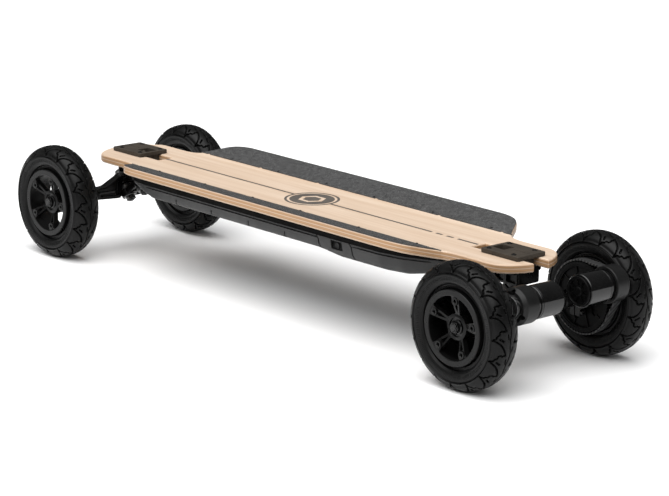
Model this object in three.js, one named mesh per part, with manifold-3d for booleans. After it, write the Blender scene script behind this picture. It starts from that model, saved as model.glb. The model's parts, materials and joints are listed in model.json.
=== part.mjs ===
// Electric skateboard for rough ground: a laminated wood deck with raised edges, a battery
// box below it, two double-kingpin trucks, four air-filled wheels and two belt-driven rear wheels.
// Millimetres. +X is forwards, +Y is the rider's left, +Z is up. The origin is on the ground,
// below the centre of the whole board's box.

import * as THREE from 'three';
import { mergeVertices } from 'three/addons/utils/BufferGeometryUtils.js';
import Module from 'manifold-3d';

const wasm = await Module();
wasm.setup();

// ---------------------------------------------------------------- driving dimensions

const wheelbase = 903.6;
const tyreRadius = 87.5;
const tyreWidth = 45.4;
const wheelCentreY = 131;

const deckTop = 155;
const deckThickness = 12.5;
const deckHalfLength = 464.5;
const deckHalfWidth = 118;
const deckFlatHalfWidth = 48;
const deckWingStart = 76;
const deckWingSlope = 0.2258;
const slotHalfWidth = 13.5;
const slotInnerX = 343;

const gripInnerY = 68.4;
const gripEndX = 345;
const gripThickness = 1;

const boxTop = 140.5;
const boxWall = 3;
const boxHalfWidth = 99;

const plateInnerX = 376;
const plateOuterX = 446.5;
const plateHalfWidth = 27;
const plateThickness = 6.2;
const mountBoltX = 432;
const mountBoltY = 20;

const kingpinAngle = THREE.MathUtils.degToRad(52);
const kingpinSpacing = 40;
const kingpinRadius = 4.1;
const runningRadius = 4.8;
const outerNutU = -16;
const outerNutW = -11;

const axleRadius = 5;
const hangerArmRadius = 10;
const hangerEndY = 92;

const motorU = 58.8;
const motorW = 32.5;
const motorRadius = 23;
const motorNeckRadius = 21;
const motorInnerY = 22;
const motorOuterY = 68;
const motorFaceY = 85.7;
const guardRadius = 25.7;
const guardInnerY = 75;
const guardOuterY = 102;
const bracketInnerY = 82;
const bracketOuterY = 91;
const pulleyPitchRadius = 50;
const pinionPitchRadius = 12.7;
const beltInnerY = 93.5;
const beltOuterY = 105.5;
const beltThickness = 2.3;

const gap = 0.3;
const runningGap = 0.5;

const deckBottom = deckTop - deckThickness;

// ---------------------------------------------------------------- finishes

function finish(color, roughness, metalness) {
  return () => new THREE.MeshStandardMaterial({ color, roughness, metalness });
}

const wood = finish(0xe8cfa8, 0.55, 0);
const grit = finish(0x3d3e40, 0.95, 0);
const shellPlastic = finish(0x2b2c2e, 0.5, 0);
const sealRubber = finish(0x141415, 0.85, 0);
const tyreRubber = finish(0x1c1c1d, 0.8, 0);
const rimPlastic = finish(0x1a1a1b, 0.5, 0);
const blackMetal = finish(0x17171a, 0.45, 0.6);
const glossMetal = finish(0x101012, 0.15, 0.7);
const plateMetal = finish(0x3a3633, 0.45, 0.5);
const zincSteel = finish(0xa9abae, 0.3, 1);
const bushingRubber = finish(0x242426, 0.6, 0);
const beltRubber = finish(0x202021, 0.8, 0);
const cellWrap = finish(0x27476b, 0.4, 0);
const boardGreen = finish(0x22543a, 0.5, 0);

// ---------------------------------------------------------------- solids

function signedVolume(position, index) {
  const a = new THREE.Vector3();
  const b = new THREE.Vector3();
  const c = new THREE.Vector3();
  let total = 0;
  for (let i = 0; i < index.length; i += 3) {
    a.fromBufferAttribute(position, index[i]);
    b.fromBufferAttribute(position, index[i + 1]);
    c.fromBufferAttribute(position, index[i + 2]);
    total += a.dot(b.cross(c)) / 6;
  }
  return total;
}

// A three.js geometry as a closed solid: shared corners merged, slivers at poles dropped,
// faces turned outwards.
function toSolid(geometry) {
  const bare = geometry.clone();
  bare.deleteAttribute('normal');
  bare.deleteAttribute('uv');
  const merged = mergeVertices(bare, 1e-3);
  const triangles = [];
  const index = merged.index.array;
  for (let i = 0; i < index.length; i += 3) {
    const [a, b, c] = [index[i], index[i + 1], index[i + 2]];
    if (a !== b && b !== c && c !== a) triangles.push(a, b, c);
  }
  if (signedVolume(merged.attributes.position, triangles) < 0) triangles.reverse();
  return new wasm.Manifold(new wasm.Mesh({
    numProp: 3,
    vertProperties: new Float32Array(merged.attributes.position.array),
    triVerts: new Uint32Array(triangles),
  }));
}

function toGeometry(solid) {
  const mesh = solid.getMesh();
  const geometry = new THREE.BufferGeometry();
  geometry.setAttribute('position', new THREE.BufferAttribute(new Float32Array(mesh.vertProperties), 3));
  geometry.setIndex(new THREE.BufferAttribute(new Uint32Array(mesh.triVerts), 1));
  geometry.computeVertexNormals();
  return geometry;
}

function join(...solids) {
  return solids.reduce((whole, next) => whole.add(next));
}

function cut(solid, ...tools) {
  return tools.reduce((rest, tool) => rest.subtract(tool), solid);
}

// A straight prism: the outline's points are (x, y), (y, z) or (x, z) by plane, and it runs
// from `from` to `to` along the third axis.
function prism(plane, outline, from, to) {
  const shape = new THREE.Shape(outline.map(([a, b]) => new THREE.Vector2(a, b)));
  const geometry = new THREE.ExtrudeGeometry(shape, { depth: to - from, bevelEnabled: false });
  const x = new THREE.Vector3(1, 0, 0);
  const y = new THREE.Vector3(0, 1, 0);
  const z = new THREE.Vector3(0, 0, 1);
  const frames = {
    xy: [x, y, z, new THREE.Vector3(0, 0, from)],
    yz: [y, z, x, new THREE.Vector3(from, 0, 0)],
    xz: [x, z, y.clone().negate(), new THREE.Vector3(0, to, 0)],
  };
  const [first, second, third, start] = frames[plane];
  const matrix = new THREE.Matrix4().makeBasis(first, second, third).setPosition(start);
  return toSolid(geometry.applyMatrix4(matrix));
}

function block(x0, x1, y0, y1, z0, z1) {
  return prism('xy', [[x0, y0], [x1, y0], [x1, y1], [x0, y1]], z0, z1);
}

// A round rod (or a hexagon with 6 sides) between two points.
function rod(radius, start, end, sides = 16) {
  const axis = end.clone().sub(start);
  const geometry = new THREE.CylinderGeometry(radius, radius, axis.length(), sides);
  const turn = new THREE.Quaternion().setFromUnitVectors(new THREE.Vector3(0, 1, 0), axis.normalize());
  const middle = start.clone().add(end).multiplyScalar(0.5);
  return toSolid(geometry.applyQuaternion(turn).translate(middle.x, middle.y, middle.z));
}

function rodY(radius, y0, y1, x = 0, z = 0, sides = 16) {
  return rod(radius, new THREE.Vector3(x, y0, z), new THREE.Vector3(x, y1, z), sides);
}

// A ring or wheel turned about the Y axis: the profile's points are (radius, y), closed on itself.
function turnedRing(profile, segments) {
  const closed = [...profile, profile[0]].map(([r, y]) => new THREE.Vector2(r, y));
  return toSolid(new THREE.LatheGeometry(closed, segments));
}

// ---------------------------------------------------------------- scene graph

const board = new THREE.Group();

function place(name, solid, makeMaterial, parent = board) {
  const mesh = new THREE.Mesh(toGeometry(solid), makeMaterial());
  mesh.name = name;
  parent.add(mesh);
}

const ends = [
  { name: 'front', sign: 1 },
  { name: 'rear', sign: -1 },
];

const sides = [
  { name: 'left', sign: 1 },
  { name: 'right', sign: -1 },
];

// ---------------------------------------------------------------- deck

function deckTopAt(y) {
  const outward = Math.abs(y);
  if (outward <= deckFlatHalfWidth) return deckTop;
  const bend = deckWingStart - deckFlatHalfWidth;
  const curvature = deckWingSlope / (2 * bend);
  if (outward <= deckWingStart) return deckTop + curvature * (outward - deckFlatHalfWidth) ** 2;
  return deckTop + curvature * bend ** 2 + deckWingSlope * (outward - deckWingStart);
}

function sweepY(from, to) {
  const bends = [-76, -69, -62, -55, -48, 48, 55, 62, 69, 76];
  return [from, ...bends.filter((y) => y > from && y < to), to];
}

// The layer between two offsets of the deck's upper surface, from one side to the other.
function deckLayer(fromY, toY, low, high, halfLength) {
  const across = sweepY(fromY, toY);
  const upper = across.map((y) => [y, deckTopAt(y) + high]);
  const lower = across.map((y) => [y, deckTopAt(y) + low]).reverse();
  return prism('yz', [...upper, ...lower], -halfLength, halfLength);
}

function cubic(start, control1, control2, end, steps) {
  const curve = new THREE.CubicBezierCurve(
    new THREE.Vector2(...start),
    new THREE.Vector2(...control1),
    new THREE.Vector2(...control2),
    new THREE.Vector2(...end),
  );
  return curve.getPoints(steps).map((point) => [point.x, point.y]);
}

// One quarter of the deck's plan, from the nose's slot round to the long side.
function deckQuarter(inset) {
  const wide = deckHalfWidth - inset;
  const nose = deckHalfLength - inset;
  const neck = 61.5 - inset;
  return [
    ...cubic([nose, slotHalfWidth + 1], [nose - 4, 34], [nose - 20, neck], [nose - 43, neck], 6),
    ...cubic([380, neck - 0.5], [362, neck - 0.5], [352, neck + 1], [345 - inset, neck + 5], 4),
    ...cubic([334 - inset, 76 - inset], [328 - inset, 88], [324 - inset, 96], [318 - inset, 102], 3),
    ...cubic([310 - inset, 111 - inset], [302 - inset, 115], [292 - inset, wide], [268, wide], 4),
  ];
}

function mirrorQuarter(quarter) {
  const back = [...quarter].reverse();
  return [
    ...quarter,
    ...back.map(([x, y]) => [-x, y]),
    ...quarter.map(([x, y]) => [-x, -y]),
    ...back.map(([x, y]) => [x, -y]),
  ];
}

const tallRange = [deckBottom - 20, deckTop + 40];

function makeDeck() {
  const outline = mirrorQuarter(deckQuarter(0));
  const layer = deckLayer(-deckHalfWidth - 5, deckHalfWidth + 5, -deckThickness, 0, deckHalfLength + 5);
  let deck = layer.intersect(prism('xy', outline, ...tallRange));
  for (const end of ends) {
    const slotEnd = end.sign * (deckHalfLength + 5);
    const slotStart = end.sign * slotInnerX;
    const [x0, x1] = [Math.min(slotStart, slotEnd), Math.max(slotStart, slotEnd)];
    deck = deck.subtract(block(x0, x1, -slotHalfWidth, slotHalfWidth, ...tallRange));
    for (const side of sides) {
      deck = deck.subtract(mountBoltHole(end.sign * mountBoltX, side.sign * mountBoltY));
    }
  }
  return deck;
}

function mountBoltHole(x, y) {
  return rod(3, new THREE.Vector3(x, y, deckBottom - 30), new THREE.Vector3(x, y, deckTop + 30), 12);
}

function makeGripTape(sign) {
  const outline = mirrorQuarter(deckQuarter(0.8));
  const band = deckLayer(
    Math.min(sign * gripInnerY, sign * deckHalfWidth),
    Math.max(sign * gripInnerY, sign * deckHalfWidth),
    gap,
    gap + gripThickness,
    gripEndX,
  );
  return band.intersect(prism('xy', outline, ...tallRange));
}

place('deck', makeDeck(), wood);
for (const side of sides) {
  place(`grip_tape_${side.name}`, makeGripTape(side.sign), grit);
}

// ---------------------------------------------------------------- battery box

// Stations along the box, front to back: x, bottom height, half width at the top.
const boxStations = [
  [306, 138, 93],
  [281, 127, 98],
  [262, 119, boxHalfWidth],
  [-120, 119, boxHalfWidth],
  [-160, 113, boxHalfWidth],
  [-250, 112.5, boxHalfWidth - 2],
  [-285, 113, 90],
  [-318, 118.5, 76],
  [-338, 126, 63],
  [-346, 134, 56],
];

// Half of a cross-section, from the top edge round to the bottom: the wall leans in a little,
// then a rounded corner leads to the flat bottom.
function boxHalfSection(bottom, halfWidth, inset) {
  const depth = boxTop - bottom;
  const low = bottom + inset;
  const high = boxTop + (inset > 0 ? 5 : 0);
  const wide = halfWidth - inset;
  return [
    [wide, high],
    [wide - 0.12 * depth, low + 0.42 * depth],
    [wide - 0.28 * depth, low + 0.16 * depth],
    [wide - 0.62 * depth, low],
  ];
}

// A closed shell whose cross-sections, all with the same number of points, are joined along X.
function loftX(stations) {
  const count = stations[0].section.length;
  const positions = [];
  for (const { x, section } of stations) {
    for (const [y, z] of section) positions.push(x, y, z);
  }
  const index = [];
  for (let ring = 0; ring + 1 < stations.length; ring += 1) {
    for (let k = 0; k < count; k += 1) {
      const a = ring * count + k;
      const b = ring * count + ((k + 1) % count);
      index.push(a, a + count, b + count, a, b + count, b);
    }
  }
  const caps = [0, stations.length - 1];
  for (const ring of caps) {
    const outline = stations[ring].section.map(([y, z]) => new THREE.Vector2(y, z));
    for (const [a, b, c] of THREE.ShapeUtils.triangulateShape(outline, [])) {
      const face = [a, b, c].map((k) => ring * count + k);
      index.push(...(ring === 0 ? face.reverse() : face));
    }
  }
  const geometry = new THREE.BufferGeometry();
  geometry.setAttribute('position', new THREE.BufferAttribute(new Float32Array(positions), 3));
  geometry.setIndex(index);
  return toSolid(geometry);
}

function boxSolid(inset) {
  const stations = boxStations.map(([x, bottom, halfWidth], station) => {
    const atEnd = station === 0 || station === boxStations.length - 1;
    const half = boxHalfSection(bottom, halfWidth, inset);
    const mirrored = [...half].reverse().map(([y, z]) => [-y, z]);
    return { x: x - Math.sign(x) * (atEnd ? inset : 0.6 * inset), section: [...half, ...mirrored] };
  });
  return loftX(stations);
}

const buttonX = -163;
const buttonZ = 132.5;
const buttonRadius = 4.6;
const bezelHalfLength = 11.5;
const bezelHalfHeight = 6.4;
const bezelOuterY = 95;
const bezelInnerY = 91.5;
const portX = 120;
const portRadius = 8;

function makeBox() {
  const window = block(
    buttonX - bezelHalfLength,
    buttonX + bezelHalfLength,
    80,
    110,
    buttonZ - bezelHalfHeight,
    buttonZ + bezelHalfHeight,
  );
  const portHole = rodY(portRadius + gap, -110, -80, portX, buttonZ - 0.5, 20);
  return cut(boxSolid(0), boxSolid(boxWall), window, portHole);
}

// The seal fills the space between the box's rim and the curved underside of the deck.
function makeSeal() {
  const low = boxTop + gap;
  const outline = [];
  const inner = [];
  for (const [x, , halfWidth] of boxStations) {
    outline.push([x, halfWidth - 0.5]);
    inner.push([x - Math.sign(x) * 9, halfWidth - 12]);
  }
  const loop = (half) => [...half, ...[...half].reverse().map(([x, y]) => [x, -y])];
  const ring = cut(
    prism('xy', loop(outline), low, deckTop),
    prism('xy', loop(inner), low - 5, deckTop + 5),
  );
  const deckSpace = deckLayer(-130, 130, -deckThickness - gap, 60, 600);
  return ring.subtract(deckSpace);
}

function makeBezel() {
  const frame = block(
    buttonX - bezelHalfLength + gap,
    buttonX + bezelHalfLength - gap,
    bezelInnerY,
    bezelOuterY,
    buttonZ - bezelHalfHeight + gap,
    buttonZ + bezelHalfHeight - gap,
  );
  return frame.subtract(rodY(buttonRadius + runningGap, 80, 110, buttonX, buttonZ));
}

function makeButton() {
  const cap = rodY(buttonRadius, bezelInnerY - 1, bezelOuterY + 1.6, buttonX, buttonZ);
  const flange = rodY(buttonRadius + 2, bezelInnerY - 2.2, bezelInnerY - gap, buttonX, buttonZ);
  return join(cap, flange);
}

function makeChargePort() {
  const collar = rodY(portRadius, -97.5, -88, portX, buttonZ - 0.5, 20);
  return cut(collar, rodY(portRadius - 2.5, -100, -92, portX, buttonZ - 0.5, 20));
}

place('battery_enclosure', makeBox(), shellPlastic);
place('enclosure_seal', makeSeal(), sealRubber);
place('battery_pack', block(-95, 250, -76, 76, 123, 139), cellWrap);
place('motor_controller', block(-275, -165, -52, 52, 118, 136), boardGreen);
place('power_button_bezel', makeBezel(), rimPlastic);
place('power_button', makeButton(), rimPlastic);
place('charge_port', makeChargePort(), rimPlastic);

// ---------------------------------------------------------------- truck mounts

// Each truck is built in its own frame: u outboard along the board, w up, from the axle's centre.
function truckFrame(end) {
  const frame = new THREE.Group();
  frame.position.set(end.sign * wheelbase / 2, 0, tyreRadius);
  frame.rotation.z = end.sign > 0 ? 0 : Math.PI;
  board.add(frame);
  return frame;
}

const alongKingpin = new THREE.Vector3(Math.cos(kingpinAngle), 0, Math.sin(kingpinAngle));
const inboardAcross = new THREE.Vector3(-Math.sin(kingpinAngle), 0, Math.cos(kingpinAngle));
const outerNut = new THREE.Vector3(outerNutU, 0, outerNutW);
const innerNut = outerNut.clone().addScaledVector(inboardAcross, kingpinSpacing);

// A rod on a kingpin's axis, between two distances along it.
function onKingpin(origin, radius, from, to, sides = 16) {
  const start = origin.clone().addScaledVector(alongKingpin, from);
  const end = origin.clone().addScaledVector(alongKingpin, to);
  return rod(radius, start, end, sides);
}

// Heights along the kingpins, from the outer nut's centre.
const linkLow = 3.8;
const linkHigh = 13.8;
const lowerBushing = [linkHigh + gap, 23.1];
const eyeLow = 23.4;
const eyeHigh = 34.4;
const upperBushing = [eyeHigh + gap, 43];
const innerBushing = [-4.2, linkLow - gap];
const bushingRadius = 11.5;
const linkRadius = 12.5;

// A barrel-shaped rubber ring round a kingpin.
function makeBushing(origin, [from, to]) {
  const half = (to - from) / 2;
  const profile = [
    [runningRadius, -half],
    [bushingRadius - 1.2, -half],
    [bushingRadius, 0],
    [bushingRadius - 1.2, half],
    [runningRadius, half],
  ];
  const closed = [...profile, profile[0]].map(([r, y]) => new THREE.Vector2(r, y));
  const geometry = new THREE.LatheGeometry(closed, 14);
  const turn = new THREE.Quaternion().setFromUnitVectors(new THREE.Vector3(0, 1, 0), alongKingpin);
  const middle = origin.clone().addScaledVector(alongKingpin, (from + to) / 2);
  return toSolid(geometry.applyQuaternion(turn).translate(middle.x, middle.y, middle.z));
}

function makeOuterKingpin() {
  return join(
    onKingpin(outerNut, kingpinRadius, -5, 47, 14),
    onKingpin(outerNut, 7.6, -3.5, 3.5, 6),
    onKingpin(outerNut, 9.8, 43.3, 45, 16),
    onKingpin(outerNut, 7.6, 44.5, 50, 6),
  );
}

function makeInnerKingpin() {
  return join(
    onKingpin(innerNut, kingpinRadius, -15, 38, 14),
    onKingpin(innerNut, 7.6, -13.5, -6.5, 6),
    onKingpin(innerNut, 9.8, -6.6, -4.5, 16),
  );
}

function makeLink() {
  const outer = onKingpin(outerNut, linkRadius, linkLow, linkHigh);
  const inner = onKingpin(innerNut, linkRadius, linkLow, linkHigh);
  const low = outerNut.clone().addScaledVector(alongKingpin, linkLow);
  const across = low.clone().addScaledVector(inboardAcross, kingpinSpacing);
  const lift = alongKingpin.clone().multiplyScalar(linkHigh - linkLow);
  const corners = [low, across, across.clone().add(lift), low.clone().add(lift)];
  const bar = prism('xz', corners.map((corner) => [corner.x, corner.z]), -10.5, 10.5);
  return cut(
    join(outer, inner, bar),
    onKingpin(outerNut, kingpinRadius + gap, -20, 60),
    onKingpin(innerNut, runningRadius, -20, 60),
  );
}

// The base block hangs below the deck. Its slanted seat takes the inner kingpin.
function makeBaseplate() {
  const deckLow = deckBottom - gap - tyreRadius;
  const flange = block(-81, -9.8, -plateHalfWidth, plateHalfWidth, deckLow - 7, deckLow);
  const body = prism('xz', [
    [-66, deckLow - 6],
    [-58, 31],
    [-9.8, 31],
    [-9.8, deckLow - 6],
  ], -21, 21);
  const boss = onKingpin(innerNut, 13, eyeLow, 42);
  const clearance = onKingpin(innerNut, 15.5, -20, eyeLow);
  const above = block(-100, 40, -40, 40, deckLow, deckLow + 40);
  const holes = sides.map((side) => mountBoltHole(mountBoltX - wheelbase / 2, side.sign * mountBoltY)
    .translate([0, 0, -tyreRadius]));
  return cut(
    join(flange, body, boss),
    clearance,
    above,
    onKingpin(innerNut, kingpinRadius + gap, -20, 39),
    ...holes,
  );
}

function makeTopPlate() {
  const low = deckTop + gap - tyreRadius;
  const inner = plateInnerX - wheelbase / 2;
  const outer = plateOuterX - wheelbase / 2;
  const plate = block(inner, outer, -plateHalfWidth, plateHalfWidth, low, low + plateThickness);
  const web = block(
    inner + 3,
    outer - 8,
    -slotHalfWidth + gap,
    slotHalfWidth - gap,
    deckBottom - tyreRadius,
    low + 1,
  );
  const window = block(inner + 5.5, inner + 28, -10.5, 10.5, low - 8, low + 20);
  const holes = sides.map((side) => mountBoltHole(mountBoltX - wheelbase / 2, side.sign * mountBoltY)
    .translate([0, 0, -tyreRadius]));
  return cut(join(plate, web), window, ...holes);
}

function makeMountBolt(v) {
  const u = mountBoltX - wheelbase / 2;
  const seat = deckTop + gap + plateThickness + gap - tyreRadius;
  const foot = deckBottom - tyreRadius - 14;
  const shank = rod(2.6, new THREE.Vector3(u, v, foot), new THREE.Vector3(u, v, seat + 1), 12);
  const head = rod(4.4, new THREE.Vector3(u, v, seat), new THREE.Vector3(u, v, seat + 1.8), 16);
  return join(shank, head);
}

// ---------------------------------------------------------------- hangers and axles

function makeHanger() {
  const wing = prism('yz', [
    [-60, -8.5],
    [-20, -11.5],
    [20, -11.5],
    [60, -8.5],
    [60, 9],
    [41, 10.5],
    [12.5, 24.5],
    [-12.5, 24.5],
    [-41, 10.5],
    [-60, 9],
  ], -8, 9);
  const arms = rodY(hangerArmRadius, -hangerEndY, hangerEndY, 0, 0, 18);
  const eye = onKingpin(outerNut, 14, eyeLow, eyeHigh);
  const bores = sides.map((side) => rodY(axleRadius + gap, side.sign * 21, side.sign * 110));
  return cut(
    join(wing, arms, eye),
    onKingpin(outerNut, 15.2, -20, eyeLow),
    onKingpin(outerNut, 14.6, eyeHigh, 70),
    onKingpin(outerNut, runningRadius, -20, 70),
    ...bores,
  );
}

// A half axle with the collar that the wheel runs against and the lock nut outside the wheel.
function makeAxle() {
  return join(
    rodY(axleRadius, 22, wheelCentreY + 17.5, 0, 0, 16),
    rodY(8, hangerEndY + gap, hangerEndY + gap + 0.9, 0, 0, 16),
    rodY(8.4, wheelCentreY + 12, wheelCentreY + 16, 0, 0, 6),
  );
}

// ---------------------------------------------------------------- wheels

const beadRadius = 52.3;
const rimRadius = 52;
const hubRadius = 17;
const rimFaceY = 22.2;
const spokePhase = THREE.MathUtils.degToRad(11.9);
const bearingRadius = 13;
const wheelSegments = 36;
const rimSegments = 28;
const pulleySegments = 24;

function makeTyre() {
  const half = tyreWidth / 2;
  const quarter = [
    [beadRadius, 0.7 * half],
    [62, half],
    [77, 0.97 * half],
    [84.5, 0.64 * half],
  ];
  const back = [...quarter].reverse().map(([r, y]) => [r, -y]);
  return turnedRing([...quarter, [tyreRadius, 0], ...back], wheelSegments);
}

function makeRim() {
  const body = turnedRing([
    [bearingRadius + gap, -13.5],
    [hubRadius, -13.5],
    [hubRadius, 5],
    [46, 13],
    [46, -18],
    [rimRadius, -18],
    [rimRadius, rimFaceY],
    [43.5, rimFaceY],
    [hubRadius, 13],
    [bearingRadius + gap, 13],
  ], rimSegments);
  return cut(body, ...fiveTimes(rimWindow));
}

function fiveTimes(make) {
  return [0, 1, 2, 3, 4].map((step) => make(step * 2 * Math.PI / 5));
}

function ringPoint(radius, angle) {
  return [radius * Math.cos(angle), radius * Math.sin(angle)];
}

// One of the five large openings between the spokes.
function rimWindow(angle) {
  const inner = 18.5;
  const outer = 43;
  const innerHalf = 0.3;
  const outerHalf = 0.46;
  const middle = angle + spokePhase + Math.PI / 5;
  return prism('xz', [
    ringPoint(inner, middle - innerHalf),
    ringPoint(outer - 3, middle - outerHalf),
    ringPoint(outer, middle - outerHalf + 0.09),
    ringPoint(outer, middle + outerHalf - 0.09),
    ringPoint(outer - 3, middle + outerHalf),
    ringPoint(inner, middle + innerHalf),
  ], 0, 30);
}

function makeBearing() {
  return turnedRing([
    [axleRadius + gap, 2],
    [bearingRadius, 2],
    [bearingRadius, 11],
    [axleRadius + gap, 11],
  ], 20);
}

// ---------------------------------------------------------------- rear drive

function makeWheelPulley() {
  const inner = beltInnerY - 0.5 - wheelCentreY;
  const outer = beltOuterY + 0.5 - wheelCentreY;
  return turnedRing([
    [axleRadius + runningGap, inner + 2],
    [45, inner + 2],
    [45, inner],
    [pulleyPitchRadius, inner],
    [pulleyPitchRadius, outer],
    [pulleyPitchRadius + 3, outer],
    [pulleyPitchRadius + 3, outer + 1.2],
    [45, outer + 1.2],
    [45, inner + 7],
    [14, inner + 7],
    [14, -13.5 - gap],
    [axleRadius + runningGap, -13.5 - gap],
  ], pulleySegments);
}

// Distance and direction from the axle to the motor shaft, seen from the side.
const driveReach = Math.hypot(motorU, motorW);
const driveAngle = Math.atan2(motorW, motorU);

// The outline round two circles on the drive line, the first about the axle.
function aroundPulleys(axleCircle, motorCircle, steps) {
  const lean = Math.asin((axleCircle - motorCircle) / driveReach);
  const touch = Math.PI / 2 - lean;
  const points = [];
  for (let k = 0; k <= 2 * steps; k += 1) {
    const angle = touch + (2 * Math.PI - 2 * touch) * k / (2 * steps);
    points.push(ringPoint(axleCircle, angle + driveAngle));
  }
  for (let k = 0; k <= steps; k += 1) {
    const [x, z] = ringPoint(motorCircle, -touch + 2 * touch * k / steps + driveAngle);
    points.push([x + motorU, z + motorW]);
  }
  return points;
}

function makeBelt() {
  const axleCircle = pulleyPitchRadius + runningGap;
  const motorCircle = pinionPitchRadius + runningGap;
  return cut(
    prism('xz', aroundPulleys(axleCircle + beltThickness, motorCircle + beltThickness, 10), beltInnerY, beltOuterY),
    prism('xz', aroundPulleys(axleCircle, motorCircle, 10), beltInnerY - 5, beltOuterY + 5),
  );
}

function makePinion() {
  return join(
    rodY(pinionPitchRadius, beltInnerY - 0.7, beltOuterY + 0.7, motorU, motorW),
    rodY(4, motorFaceY + gap, beltOuterY + 0.7, motorU, motorW),
  );
}

function makeMotor() {
  return join(
    rodY(motorRadius, motorInnerY + 3, motorOuterY, motorU, motorW, 32),
    rodY(motorRadius - 2.5, motorInnerY, motorOuterY, motorU, motorW, 32),
    rodY(motorNeckRadius, motorInnerY + 3, motorFaceY, motorU, motorW, 32),
  );
}

// The motor bracket: a plate clamped on the hanger, a collar round the motor's neck, and a guard
// round the pinion that is open where the belt leaves for the wheel.
function makeMotorMount() {
  const neckBore = motorNeckRadius + gap;
  const pinionSpace = 17.5;
  const shaftBore = 5;
  const wheelSpace = pulleyPitchRadius + beltThickness + 2.5;
  const collar = turnedRing([
    [guardRadius, guardInnerY],
    [guardRadius, guardOuterY - 5],
    [guardRadius - 4.2, guardOuterY],
    [pinionSpace, guardOuterY],
    [pinionSpace, bracketOuterY],
    [shaftBore, bracketOuterY],
    [shaftBore, motorFaceY + gap],
    [neckBore, motorFaceY + gap],
    [neckBore, guardInnerY],
  ], 32).translate([motorU, 0, motorW]);
  const arm = prism('xz', aroundPulleys(17, 16, 6), bracketInnerY, bracketOuterY);
  const beltSpace = prism('xz', aroundPulleys(wheelSpace, pinionSpace, 8), bracketOuterY + 0.4, guardOuterY + 5);
  const notches = [1, -1].map((way) => {
    const [x, z] = ringPoint(20.5, driveAngle + way);
    return rodY(3.8, guardOuterY - 7, guardOuterY + 5, motorU + x, motorW + z, 8);
  });
  return cut(
    join(collar, arm),
    rodY(neckBore, guardInnerY - 5, motorFaceY + gap, motorU, motorW, 32),
    rodY(shaftBore, bracketInnerY - 5, guardOuterY, motorU, motorW),
    rodY(hangerArmRadius + gap, bracketInnerY - 5, guardOuterY),
    beltSpace,
    ...notches,
  );
}

// ---------------------------------------------------------------- trucks put together

for (const end of ends) {
  const frame = truckFrame(end);
  place(`${end.name}_top_plate`, makeTopPlate(), plateMetal, frame);
  place(`${end.name}_baseplate`, makeBaseplate(), blackMetal, frame);
  place(`${end.name}_inner_kingpin`, makeInnerKingpin(), zincSteel, frame);
  place(`${end.name}_inner_bushing_lower`, makeBushing(innerNut, innerBushing), bushingRubber, frame);
  place(`${end.name}_inner_bushing_upper`, makeBushing(innerNut, lowerBushing), bushingRubber, frame);
  place(`${end.name}_middle_link`, makeLink(), blackMetal, frame);
  place(`${end.name}_outer_kingpin`, makeOuterKingpin(), zincSteel, frame);
  place(`${end.name}_outer_bushing_lower`, makeBushing(outerNut, lowerBushing), bushingRubber, frame);
  place(`${end.name}_outer_bushing_upper`, makeBushing(outerNut, upperBushing), bushingRubber, frame);
  place(`${end.name}_hanger`, makeHanger(), blackMetal, frame);

  for (const side of sides) {
    const corner = `${end.name}_${side.name}`;
    // The truck's own frame faces outboard, so its sides swap at the rear.
    const inTruck = side.sign * end.sign;
    place(`${end.name}_mount_bolt_${side.name}`, makeMountBolt(inTruck * mountBoltY), zincSteel, frame);

    // Everything on one side is built for +Y and mirrored to the other side.
    const facing = side.sign > 0 ? (solid) => solid : (solid) => solid.mirror([0, 1, 0]);
    const onEnd = end.sign > 0 ? (solid) => solid : (solid) => solid.mirror([1, 0, 0]);
    const corners = new THREE.Group();
    corners.position.set(end.sign * wheelbase / 2, 0, tyreRadius);
    board.add(corners);
    const put = (name, solid, material) => place(name, onEnd(facing(solid)), material, corners);
    const putWheel = (name, solid, material) => put(name, solid.translate([0, wheelCentreY, 0]), material);

    put(`${corner}_axle`, makeAxle(), zincSteel);
    putWheel(`${corner}_tyre`, makeTyre(), tyreRubber);
    putWheel(`${corner}_rim`, makeRim(), rimPlastic);
    putWheel(`${corner}_bearing`, makeBearing(), zincSteel);

    if (end.name === 'rear') {
      putWheel(`${side.name}_wheel_pulley`, makeWheelPulley(), rimPlastic);
      put(`${side.name}_drive_belt`, makeBelt(), beltRubber);
      put(`${side.name}_motor_pinion`, makePinion(), zincSteel);
      put(`${side.name}_motor`, makeMotor(), glossMetal);
      put(`${side.name}_motor_mount`, makeMotorMount(), blackMetal);
    }
  }
}

export default board;
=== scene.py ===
"""Looks of the electric skateboard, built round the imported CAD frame.

Shapes are made in millimetres and scaled once, when they become objects. Wheels are made about their
own centre with +Y outboard, trucks about the axle's centre with +X outboard, and the rest in the row frame.
"""
import json
import math

import bmesh
import bpy
import numpy as np
from mathutils import Matrix, Vector
from mathutils.geometry import tessellate_polygon

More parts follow.
